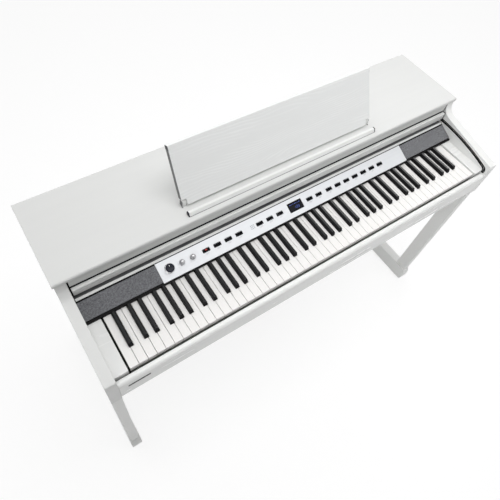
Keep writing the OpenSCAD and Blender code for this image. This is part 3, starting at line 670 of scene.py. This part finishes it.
def print_bar(length, width, rise):
    """A thin bar with round ends, all in millimetres."""
    return pulled(round_bar(length * MM, width * MM, 0.3 * MM, 2), 0, rise * MM)


def slab(low, high):
    """A block between two corners."""
    outline = [(low[0], low[1]), (high[0], low[1]), (high[0], high[1]), (low[0], high[1])]
    return pulled(outline, low[2], high[2])


def together(*shapes):
    """Several shapes as one."""
    whole = bmesh.new()
    holder = bpy.data.meshes.new("holder")
    for shape in shapes:
        shape.to_mesh(holder)
        shape.free()
        whole.from_mesh(holder)
    bpy.data.meshes.remove(holder)
    return whole


def copies(shape, places):
    """One shape with a copy of the given one at each place."""
    whole = together(*[moved(shape.copy(), at) for at in places])
    shape.free()
    return whole


def skin_of(part, kept):
    """Those faces of a node that kept() chooses, joined at their corners."""
    shape = bmesh.new()
    shape.from_mesh(NODES[part].data)
    others = [face for face in shape.faces if not kept(face)]
    bmesh.ops.delete(shape, geom=others, context="FACES")
    bmesh.ops.remove_doubles(shape, verts=shape.verts, dist=0.01 * MM)
    return shape


def shown(name, data):
    """A new object with this data, in the scene."""
    made = bpy.data.objects.new(name, data)
    bpy.context.scene.collection.objects.link(made)
    return made


def piece(name, shape, paint, edge=0.3, steps=2, body="case"):
    """Shows a shape with a material, rounded edges and the body that it rides on."""
    mesh = bpy.data.meshes.new(name)
    shape.to_mesh(mesh)
    shape.free()
    mesh.materials.append(paint)
    made = shown(name, mesh)
    soften(made, edge, steps)
    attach(made, body)
    return made


# ------ beside the keys and the cover


def groove_lining(side, wall):
    """The black channel in a side panel's guide groove, fitted to the groove's faces."""
    def in_groove(face):
        """Whether a face lies in the groove."""
        far = abs(face.calc_center_median().x - wall)
        return 0.3 * MM < far < GROOVE_DEPTH + 0.2 * MM

    shape = skin_of("side_" + side, in_groove)
    shape.normal_update()
    for corner in shape.verts:
        corner.co += 0.18 * MM * corner.normal
    made = piece("groove_lining_" + side, shape, BLACK_LINING_AND_SHADE, 0.1)
    skin = made.modifiers.new("channel_wall", "SOLIDIFY")
    skin.thickness = 0.12 * MM
    made.modifiers.move(1, 0)


def key_gap_felt_and_shade(side, sign):
    """The strip that closes the gap between the end key and its block: pale felt on the right, and black on the
    left as painted shade in the gap.
    """
    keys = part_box("white_keys_low")[0] if sign < 0 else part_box("white_keys_high")[1]
    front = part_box("white_keys_low")[0].y
    block_low, block_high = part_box("cheek_" + side)
    face = block_high.x if sign < 0 else block_low.x
    # The left strip is black as painted shade in the gap; the right one is pale felt.
    drop, paint = (9, BLACK_LINING_AND_SHADE) if sign < 0 else (4, PALE_FELT)
    low = near((min(face, keys.x), front, block_low.z), 0.2, 1, 0)
    high = near((max(face, keys.x), block_high.y, block_high.z), -0.5, -2, -drop)
    piece("key_gap_felt_and_shade_" + side, slab(low, high), paint, 1.2, 3)


def end_shadow_strip(side, wall, sign):
    """Black strips at an end of the cover's opening, as painted shadow in the gaps there: in the fascia's corner
    and on the trim.
    """
    low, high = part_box("fascia")
    ends = sorted((wall, wall - sign * 4.2 * MM))
    corner = slab(near((ends[0], low.y, low.z), 0, -0.3, 0),
                  near((ends[1], low.y, high.z), 0, 0.1, 0))
    trim_low, trim_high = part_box("panel_trim")
    top = surface("panel_trim")
    length = (trim_high.y - trim_low.y) / UP_PANEL.y
    start = (trim_low.y - KNOB_AT.y) / UP_PANEL.y
    half = 1.3 * MM
    strip = slab(near((-half, 0, top), 0, 1, 0), near((half, length, top), 0, -1.6, 0.2))
    moved(strip, on_panel(wall - sign * half, start))
    piece("end_shadow_strip_" + side, together(corner, strip), BLACK_LINING_AND_SHADE, 0.1)


def end_cap(name, part, sign, reach, grow, paint, body):
    """A cap on an end of a long part. reach is out of and into it; grow widens its section."""
    low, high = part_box(part)
    face = high.x if sign > 0 else low.x

    def at_end(polygon):
        """Whether a face lies in the flat end."""
        return max(abs(corner.co.x - face) for corner in polygon.verts) <= 0.05 * MM

    shape = skin_of(part, at_end)
    bmesh.ops.dissolve_limit(shape, angle_limit=0.02, verts=shape.verts, edges=shape.edges)
    middle = (low + high) / 2
    for corner in shape.verts:
        corner.co.x = face + sign * reach[0] * MM
        corner.co.y = middle.y + (corner.co.y - middle.y) * grow[0]
        corner.co.z = middle.z + (corner.co.z - middle.z) * grow[1]
    grown = bmesh.ops.extrude_face_region(shape, geom=shape.faces[:])
    for corner in grown["geom"]:
        if isinstance(corner, bmesh.types.BMVert):
            corner.co.x = face - sign * reach[1] * MM
    piece(name, outward(shape), paint, 0.1, body=body)


def trim_shade_seals():
    """Dark seals between the trim and the panel below it, wider over the cloths, whose darkness also stands as
    painted shade under the trim.
    """
    trim_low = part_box("panel_trim")[0]
    edge = (trim_low.y - KNOB_AT.y) / UP_PANEL.y + 1.4 * MM
    seals = []
    for name, width in (("grille_left", 5.2), ("grille_right", 5.2), ("control_panel", 3.2)):
        low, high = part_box(name)
        top = surface(name)
        seal = slab(near((low.x, edge, top), 0.2, -width, -0.6),
                    near((high.x, edge, top), -0.2, 0, 0.12))
        seals.append(moved(seal, on_panel(0)))
    piece("grille_shade_seals", together(*seals[:2]), BLACK_LINING_AND_SHADE, 0.08, 1)
    piece("panel_shade_seal", seals[2], KNOB_BLACK, 0.08, 1)


def slip_slot_shade():
    """A black insert in the thin slot of the key slip, as painted shade inside the slot."""
    slip_low, slip_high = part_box("key_slip")
    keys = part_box("white_keys_low")[0]
    at = near((keys.x, slip_low.y, slip_high.z), -19.2, 0, -22.4)
    plate = slab(near(at, 0, -0.15, -8.4), near(at, 58, 0.4, 0))
    tongue = slab(near(at, 1, 0, -5.2), near(at, 57, 5.5, -3))
    piece("slip_slot_shade", together(plate, tongue), BLACK_LINING_AND_SHADE)


def dust_felt_and_shade():
    """The dark felt behind the trim, that hides the ends of the keys; its grey is also painted shade in the
    opening under the lip.
    """
    low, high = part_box("panel_trim")
    shape = slab(near((low.x, high.y, high.z), 1, 0.2, -5), near(high, -1, 26, -3.4))
    piece("dust_felt_and_shade", shape, GREY_FELT_AND_SHADE)


def cover_seal():
    """The black brush under the fascia that sweeps the cover and closes the space above it."""
    low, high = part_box("fascia")
    end = (high.x, low.y, low.z)
    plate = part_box("key_cover")[1].z
    spine = slab(near(low, 1, 2.5, -6), near(end, -1, 6, 1))
    brush = slab(near((low.x, low.y, plate), 1, 3.4, 1.2), near(end, -1, 5, 0))
    piece("cover_seal", together(spine, brush), BLACK_LINING_AND_SHADE, 0.2)


dust_felt_and_shade()
cover_seal()
for side, wall, sign in (("left", LEFT_WALL, -1), ("right", RIGHT_WALL, 1)):
    groove_lining(side, wall)
    key_gap_felt_and_shade(side, sign)
    end_shadow_strip(side, wall, sign)
    # Black caps on the ends of the cover's lip: painted shadow in the gaps beside it.
    end_cap("lip_end_shadow_" + side, "cover_lip", sign, (1.2, 3.1), (1.04, 1.015), BLACK_LINING_AND_SHADE, "cover")
    # Black caps on the ends of the ledge: painted shade on its ends.
    end_cap("ledge_end_shade_" + side, "rest_ledge", sign, (0.4, 2.6), (1.04, 1.03), KNOB_BLACK, "case")
trim_shade_seals()
slip_slot_shade()


# ------ on the control panel


def knob_cap():
    """The black fluted cap over the top of the volume knob, and its pale pointer."""
    side = profile((KNOB_RADIUS, KNOB_HEIGHT), (-0.55, -3.2), (-0.15, -2.9), (-0.25, -0.4),
                   (-1.3, 0.7), (-2.6, 0.9), (-3.4, 0.45))
    shape = turned(side + [(0, KNOB_HEIGHT + 0.3 * MM)], 60, 0.28 * MM)
    moved(shape, on_panel(KNOB_AT.x))
    piece("volume_knob_cap", shape, KNOB_BLACK, 0.1, body="volume_knob")
    outline = round_bar(MM, 3.6 * MM, 0.45 * MM)
    mark = pulled(outline, KNOB_HEIGHT + 0.36 * MM, KNOB_HEIGHT + 0.62 * MM)
    moved(mark, on_panel(KNOB_AT.x, KNOB_RADIUS - 6.2 * MM))
    piece("volume_knob_pointer", mark, KNOB_METAL, 0.08, body="volume_knob")


def small_knob_crown(name):
    """The domed crown of a small knob, and its black pointer line."""
    at = on_panel(pin(name + "_turn").x)
    edge = (SMALL_KNOB_RADIUS, KNOB_HEIGHT)
    dome = profile(edge, (-0.9, -1.4), (-0.72, -1.2), (-1.5, 0.2), (-3, 1), (-5, 1.35))
    shape = moved(turned(dome + [(0, KNOB_HEIGHT + 1.4 * MM)], 40), at)
    piece(name + "_crown", shape, SMALL_KNOB_SHADED_METAL, 0.1, body=name)
    line = slab(near((0, *edge), -0.35, -3.9, 0.3), near((0, *edge), 0.35, -1.4, 0.95))
    piece(name + "_line", moved(line, at), KNOB_BLACK, 0.08, body=name)


def power_lamp():
    """The red lamp in the upper middle of the first function button."""
    outline = round_bar(6 * MM, 2.6 * MM, MM)
    shape = pulled(outline, BUTTON_RISE - 0.3 * MM, BUTTON_RISE + 0.15 * MM)
    moved(shape, on_panel(button_places("buttons_function")[0], 1.4 * MM))
    piece("power_lamp", shape, RED_LIT, 0.1, body="buttons_function")


# The strokes of a seven-stroke digit by their usual letters. Those off the middle stand upright.
STROKES = {"a": (0, 1), "b": (0.5, 0.5), "c": (0.5, -0.5), "d": (0, -1), "e": (-0.5, -0.5),
           "f": (-0.5, 0.5), "g": (0, 0)}
DIGITS = {"1": "bc", "2": "abged", "0": "afbecd"}
STROKE_STEP = 3.2
STROKE_LENGTH = STROKE_STEP * 0.86
LIT_AT = 0.42 * MM


def display_segments():
    """Lit digits and a row of small lit blocks, just over the display's glass."""
    shapes = []
    for i, digit in enumerate("120"):
        for stroke in DIGITS[digit]:
            x, y = STROKES[stroke]
            size = (0.8, STROKE_LENGTH) if x else (STROKE_LENGTH, 0.8)
            across = (i * 6.4 - 3 + x * STROKE_STEP) * MM
            at = on_panel(across, (y * STROKE_STEP - 3.4) * MM, LIT_AT)
            shapes.append(moved(print_bar(*size, 0.06), at))
    for i in range(7):
        at = on_panel((i * 5.4 - 16.2) * MM, 7.2 * MM, LIT_AT)
        shapes.append(moved(print_bar(3.6 - i % 3, 1.3, 0.06), at))
    piece("display_segments", together(*shapes), BLUE_LIT, 0.02, 1)


def button_wells():
    """A black rim sunk into the panel round each button."""
    outer = round_bar(BUTTON_LENGTH + 2.6 * MM, BUTTON_WIDTH + 2.8 * MM, 2 * MM)
    inner = round_bar(BUTTON_LENGTH + MM, BUTTON_WIDTH + MM, 1.4 * MM)
    places = [on_panel(x) for part in BUTTONS for x in button_places(part)]
    shape = copies(rim(outer, inner, -0.2 * MM, 0.1 * MM), places)
    piece("button_wells", shape, BLACK_LINING_AND_SHADE, 0.05, 1)


def panel_prints():
    """Short grey dashes printed by each button, and a small grid of sunken dots."""
    marks = []
    for part in BUTTONS:
        for i, x in enumerate(button_places(part)):
            for line, length in enumerate((13 - 2 * (i % 3), 8 + 1.5 * (i % 2))):
                at = on_panel(x, -(8.6 + 2.2 * line) * MM, 0.01 * MM)
                marks.append(moved(print_bar(length, 0.7, 0.04), at))
    first = button_places("buttons_transport")[0] - 24 * MM
    dots = [on_panel(first + i * 4.8 * MM, j * 4.4 * MM, 0.01 * MM)
            for i in (-1, 0, 1) for j in (-1, 0, 1)]
    dot = turned(profile((0, 0), (1.3, 0), (1.25, 0.04), (0, 0.05)), 16)
    piece("panel_dots", copies(dot, dots), DOT_GREY, 0.01, 1)
    piece("panel_prints", together(*marks), PRINT, 0.01, 1)


knob_cap()
small_knob_crown("tone_knob_left")
small_knob_crown("tone_knob_right")
power_lamp()
display_segments()
button_wells()
panel_prints()


# ------ screws, felts and fittings


def screws(name, places, radius=3.6 * MM):
    """Pan heads at a list of places, each with a black cross on top as painted shade in its cross recess."""
    outline = ((1, 0), (1, 0.25), (0.82, 0.5), (0.4, 0.62), (0, 0.66))
    head = turned([(across * radius, up * radius) for across, up in outline], 20)
    outline = round_bar(1.1 * radius, 0.26 * radius, 0.1 * radius, 2)
    bar = pulled(outline, 0.5 * radius, 0.7 * radius)
    # The black cross is painted shade in the screw's recess.
    cross = copies(bar, [Matrix.Identity(4), Matrix.Rotation(math.pi / 2, 4, "Z")])
    piece(name, copies(head, places), SCREW_STEEL, 0.15)
    piece(name + "_recess_shades", copies(cross, places), BLACK_LINING_AND_SHADE, 0.05, 1)


def back_screws():
    """Two rows of screws along the back panel, and one in the middle of each end."""
    low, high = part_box("back_panel")
    inset = 14 * MM
    across = [low.x + inset + (high.x - low.x - 2 * inset) * i / 8 for i in range(9)]
    spots = [(x, z) for x in across for z in (low.z + inset, high.z - inset)]
    spots += [(x, (low.z + high.z) / 2) for x in (across[0], across[-1])]
    screws("back_screws", [facing((x, high.y - 0.8 * MM, z), (0, 1, 0)) for x, z in spots])


def bed_screws():
    """Two rows of screws under the key bed."""
    low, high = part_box("key_bed")
    xs = [low.x + (high.x - low.x) * (i + 0.5) / 7 for i in range(7)]
    spots = [(x, y) for x in xs for y in (low.y + 30 * MM, high.y - 60 * MM)]
    screws("bed_screws", [facing((x, y, low.z), (0, 0, -1)) for x, y in spots])


def leg_brackets():
    """Steel angles that hold the legs and sides to the key bed, each with four screws."""
    bed_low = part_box("key_bed")[0]
    size, thick, half = 42 * MM, 2.5 * MM, 18 * MM
    outline = [(0, 0), (size, 0), (size, -thick), (thick + 2 * MM, -thick),
               (thick, -thick - 2 * MM), (thick, -size), (0, -size)]
    angles, heads = [], []
    for wall, sign in ((LEFT_WALL, 1), (RIGHT_WALL, -1)):
        turn = Matrix(((sign, 0, 0), (0, 0, 1), (0, 1, 0))).to_4x4()
        for y in (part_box("leg_left")[1].y - 24 * MM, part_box("rear_leg_left")[0].y + 30 * MM):
            corner = Vector((wall, y, bed_low.z))
            shape = moved(pulled(outline, -half, half), Matrix.Translation(corner) @ turn)
            angles.append(outward(shape))
            for along_y in (-11 * MM, 11 * MM):
                under = corner + Vector((sign * 26 * MM, along_y, -thick))
                beside = corner + Vector((sign * thick, along_y, -26 * MM))
                heads += [facing(under, (0, 0, -1)), facing(beside, (sign, 0, 0))]
    piece("leg_brackets", together(*angles), STEEL, 0.4)
    screws("bracket_screws", heads, 4.2 * MM)


def joint_caps():
    """White caps over the bolts of the modesty panel and of the rear legs."""
    section = profile((0, 0), (7, 0), (7, 0.8), (6.2, 1.5), (5.2, 1.5), (4.8, 1.1), (0, 1.1))
    cap = turned(section, 28)
    low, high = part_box("modesty_panel")
    places = [facing((x, high.y, z), (0, 1, 0)) for x in (low.x + 34 * MM, high.x - 34 * MM)
              for z in (low.z + 40 * MM, high.z - 40 * MM)]
    for side, sign in (("left", 1), ("right", -1)):
        low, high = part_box("rear_leg_" + side)
        face = high.x if sign > 0 else low.x
        for z in (low.z + 40 * MM, high.z - 60 * MM):
            places.append(facing((face, (low.y + high.y) / 2 + 20 * MM, z), (sign, 0, 0)))
    piece("joint_caps", copies(cap, places), GLOSS, 0.2)


def glide_rings():
    """A zinc ring at the top of each levelling glide."""
    low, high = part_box("glides")
    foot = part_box("foot_left")[0]
    radius = 14 * MM
    places = [Matrix.Translation((x, y, foot.z)) for x in (low.x + radius, high.x - radius)
              for y in (low.y + radius, high.y - radius)]
    ring = tube(14.6, 9, -2, -0.05, 40)
    piece("glide_rings", copies(ring, places), SCREW_STEEL)


def speaker_meshes():
    """Round wire meshes with a rim, under the openings for the loudspeakers."""
    low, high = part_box("speakers")
    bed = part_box("key_bed")[0].z
    flange = (high.y - low.y) / 2
    reach = flange - 11 * MM
    pitch, wire = 5 * MM, 1.1 * MM
    count = int(reach / pitch)
    section = profile((reach, 0), (-3, -0.2), (4, -0.2), (4, -1.6), (2, -3), (-2, -3))
    ring = turned(section, 64)
    ends = [face for face in ring.faces if len(face.verts) > 8]
    bmesh.ops.delete(ring, geom=ends, context="FACES_ONLY")
    shapes = [ring]
    for i in range(-count, count + 1):
        half = math.sqrt(max(reach ** 2 - (i * pitch) ** 2, 1e-9)) - MM
        for turn, lift in ((0, 0), (math.pi / 2, 0.6 * MM)):
            outline = round_bar(2 * half, wire, 0.3 * MM, 2)
            at = Matrix.Rotation(turn, 4, "Z") @ Matrix.Translation((0, i * pitch, 0))
            shapes.append(moved(pulled(outline, -1.5 * MM - lift, -0.8 * MM - lift), at))
    middle = (low.y + high.y) / 2
    places = [Matrix.Translation((x, middle, bed)) for x in (low.x + flange, high.x - flange)]
    whole = copies(together(*shapes), places)
    piece("speaker_meshes", whole, SPEAKER_BLACK, 0.1, 1)


def pedal_surrounds():
    """A black frame round each pedal's slot."""
    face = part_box("pedal_box")[0].y
    wide = 3 * MM
    frames = []
    for side in ("left", "middle", "right"):
        low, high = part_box("pedal_" + side)
        pivot = pin("pedal_" + side + "_press")
        x = (low.x + high.x) / 2
        left, right = x - 12 * MM, x + 12 * MM
        bottom, top = pivot.z - 25 * MM, pivot.z + 11 * MM
        under, over = bottom - wide, top + wide
        for x_low, z_low, x_high, z_high in (
                (left - wide, under, left, over), (right, under, right + wide, over),
                (left, top, right, over), (left, under, right, bottom)):
            frames.append(slab((x_low, face - 1.2 * MM, z_low), (x_high, face + 0.1 * MM, z_high)))
    piece("pedal_surrounds", together(*frames), BLACK)


def jack_fittings():
    """A washer, a nut and a threaded bush round each jack socket."""
    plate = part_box("jack_panel")[1].y
    places = [facing((MOUNTS[name]["pos_m"][0], plate, MOUNTS[name]["pos_m"][2]), (0, 1, 0))
              for name in sorted(MOUNTS) if name.startswith("jack")]
    washer = tube(6.3, 3.4, 0, 0.6)
    nut = tube(5.6, 4, 0.6, 2.4, 6)
    bush = tube(4.5, 3.3, 0, 3.4)
    shape = copies(together(washer, nut, bush), places)
    piece("jack_fittings", shape, SCREW_STEEL, 0.15)


def inlet_pins():
    """Two blades in the power inlet and a tongue in the data socket."""
    spots = {}
    for hole in frame["record"]["physics"]["openings"]:
        low, high = [Vector(corner) for corner in hole["box_m"]]
        middle = (low + high) / 2
        spots[hole["name"]] = (middle.x, low.y, middle.z)
    inlet, socket = spots["power_inlet"], spots["data_socket"]
    blades = [slab(near(inlet, x - 1.2, -0.2, -2.6), near(inlet, x + 1.2, 9, 2.6)) for x in (-4, 4)]
    piece("inlet_blades", together(*blades), SCREW_STEEL)
    piece("data_tongue", slab(near(socket, -4, -0.2, -1.6), near(socket, 4, 8, 1.6)), BLACK)


def board_bumpers():
    """Soft pads on the back of the music board."""
    low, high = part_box("music_board")
    pad = turned(profile((0, 0), (6, 0), (6, 1.2), (4.6, 2.2), (0, 2.6)), 24)
    flip = Matrix.Rotation(math.pi, 4, "Y")
    places = [on_board(x, 138 * MM, BOARD_HALF) @ flip for x in (low.x + 30 * MM, high.x - 30 * MM)]
    piece("board_bumpers", copies(pad, places), RUBBER, 0.2, body="board")


def board_ends(name, paint, edge, inset, out, start, stop):
    """A cap over each end of the music board, from start to stop millimetres up its slope, darker than the board
    as painted shade on its ends.
    """
    low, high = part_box("music_board")
    across = BOARD_HALF - inset * MM
    caps = []
    for face, sign in ((low.x, -1), (high.x, 1)):
        ends = sorted((face - sign * 1.6 * MM, face + sign * out * MM))
        cap = slab((ends[0], start * MM, -across), (ends[1], stop * MM, across))
        caps.append(moved(cap, on_board(0)))
    piece(name, together(*caps), paint, edge, body="board")


def hinge_shade_plates():
    """A thin grey plate with a foot, outside each hinge block of the music board, as painted shade on the hinge's
    ends.
    """
    low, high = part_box("rest_hinge")
    plates = []
    for face, sign in ((low.x, -1), (high.x, 1)):
        ends = sorted((face - sign * 0.3 * MM, face + sign * 0.8 * MM))
        start = (ends[0], low.y, low.z)
        plate_end, foot_end = (ends[1], high.y, high.z), (ends[1], high.y, low.z)
        plates.append(slab(near(start, 0, 0.6, 0), near(plate_end, 0, -0.6, -1.2)))
        plates.append(slab(near(start, 0, -3, 0), near(foot_end, 0, -1, 2.4)))
    piece("hinge_shade_plates", together(*plates), END_SHADE_GREY, 0.2)


def ledge_foot_shade():
    """A thin grey strip along the foot of the ledge, where it meets the lid, as painted shadow in the joint."""
    low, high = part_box("rest_ledge")
    bead = slab(near(low, 1, -1.5, -0.3), near((high.x, low.y, low.z), -1, 0.6, 0.5))
    piece("ledge_foot_shade", bead, LEDGE_SHADE_GREY, 0.2)


back_screws()
bed_screws()
leg_brackets()
joint_caps()
glide_rings()
speaker_meshes()
pedal_surrounds()
jack_fittings()
inlet_pins()
board_bumpers()
# Grey bands and black caps on the board's ends are painted shade.
board_ends("board_end_shade_bands", END_SHADE_GREY, 0.15, 0.4, 0.22, 10, 143)
board_ends("board_end_shade_caps", KNOB_BLACK, 0.2, 0.1, 0.6, 143, 154.8)
hinge_shade_plates()
ledge_foot_shade()


# ------ the studio


def soft_light(name, at, toward, size, watts, cone=180):
    """An oblong lamp turned toward a place, that lights a cone of some degrees."""
    lamp = bpy.data.lights.new(name, "AREA")
    lamp.shape = "RECTANGLE"
    lamp.size, lamp.size_y = size
    lamp.energy = watts
    lamp.spread = math.radians(cone)
    holder = shown(name, lamp)
    holder.location = at
    holder.rotation_euler = (Vector(toward) - Vector(at)).to_track_quat("-Z", "Y").to_euler()


def studio_floor():
    """A matt floor for the light, that the camera and gloss see nearly white."""
    mesh = bpy.data.meshes.new("studio_floor")
    mesh.from_pydata([(-9, -9, 0), (9, -9, 0), (9, 9, 0), (-9, 9, 0)], [], [(0, 1, 2, 3)])
    made = bpy.data.materials.new("studio_floor")
    tree = emptied(made)
    cloud = noise(node(tree, "TexCoord").outputs["Object"], 2)
    paths = node(tree, "LightPath").outputs
    seen = sums("MAXIMUM", paths["Is Camera Ray"], paths["Is Glossy Ray"])
    seen = sums("MAXIMUM", seen, paths["Is Transmission Ray"])
    pale = blended(cloud, (0.79, 0.79, 0.79), (0.81, 0.81, 0.81))
    matt = node(tree, "BsdfDiffuse", {"Color": blended(seen, pale, (0.25, 0.25, 0.25))})
    glow = node(tree, "Emission", {"Strength": times(seen, 0.8)})
    both = node(tree, "AddShader", {0: matt.outputs[0], 1: glow.outputs[0]})
    node(tree, "OutputMaterial", {"Surface": both.outputs[0]})
    mesh.materials.append(made)
    floor = shown("studio_floor", mesh)


def studio_world():
    """White air all round, which gloss sees darker overhead. It lights more from behind."""
    world = bpy.data.worlds.new("studio_air")
    tree = emptied(world)
    toward = node(tree, "SeparateXYZ", {0: node(tree, "TexCoord").outputs["Generated"]}).outputs
    lit = times(sums("MAXIMUM", toward["Y"], 0), 1.18, 0.22)
    paths = node(tree, "LightPath").outputs
    clear = sums("MAXIMUM", paths["Is Camera Ray"], paths["Is Transmission Ray"])
    seen = sums("MAXIMUM", clear, paths["Is Glossy Ray"])
    feeds = {"Value": toward["Z"], "From Min": 0.35, "From Max": 0.85, "To Min": 1, "To Max": 0.25}
    overhead = node(tree, "MapRange", feeds, interpolation_type="SMOOTHSTEP").outputs["Result"]
    white = (1, 1, 1, 1)
    air = node(tree, "Background", {"Color": white, "Strength": lit})
    plain = node(tree, "Background", {"Color": white, "Strength": sums("MAXIMUM", overhead, clear)})
    mix = node(tree, "MixShader", {0: seen, 1: air.outputs[0], 2: plain.outputs[0]})
    node(tree, "OutputWorld", {"Surface": mix.outputs[0]})
    bpy.context.scene.world = world


def studio_camera():
    """The camera of the main view."""
    view = bpy.data.cameras.new("studio_camera")
    view.sensor_width = 36
    view.lens = 32.914
    view.shift_x = 0.0379
    view.shift_y = -0.0192
    view.clip_start, view.clip_end = 0.02, 60
    holder = shown("studio_camera", view)
    holder.location = (-0.67322, -0.5683, 1.77915)
    holder.rotation_euler = [math.radians(v) for v in (32.89266, -5.23686, -33.12529)]
    bpy.context.scene.camera = holder


soft_light("softbox_top", (0, -0.25, 3), (0, -0.1, 0.75), (2.4, 1.2), 32.5)
soft_light("softbox_right_back", (2.4, 1, 3), (1.2, 0.4, 0.75), (2.2, 1.2), 9)
soft_light("lamp_left_front", (-1.6, -1.8, 1.6), (0.66, -0.1, 0.75), (0.8, 0.8), 1.8, 60)
soft_light("lamp_right_front", (0.9, -1.8, 2.2), (0.6, -0.2, 0.7), (1, 1), 0.85, 70)
soft_light("lamp_right_high", (1.3, -0.9, 2.6), (0.7, -0.2, 0.75), (0.8, 0.8), 0.35, 50)
studio_floor()
studio_world()
studio_camera()
bpy.context.scene.view_settings.view_transform = "Standard"
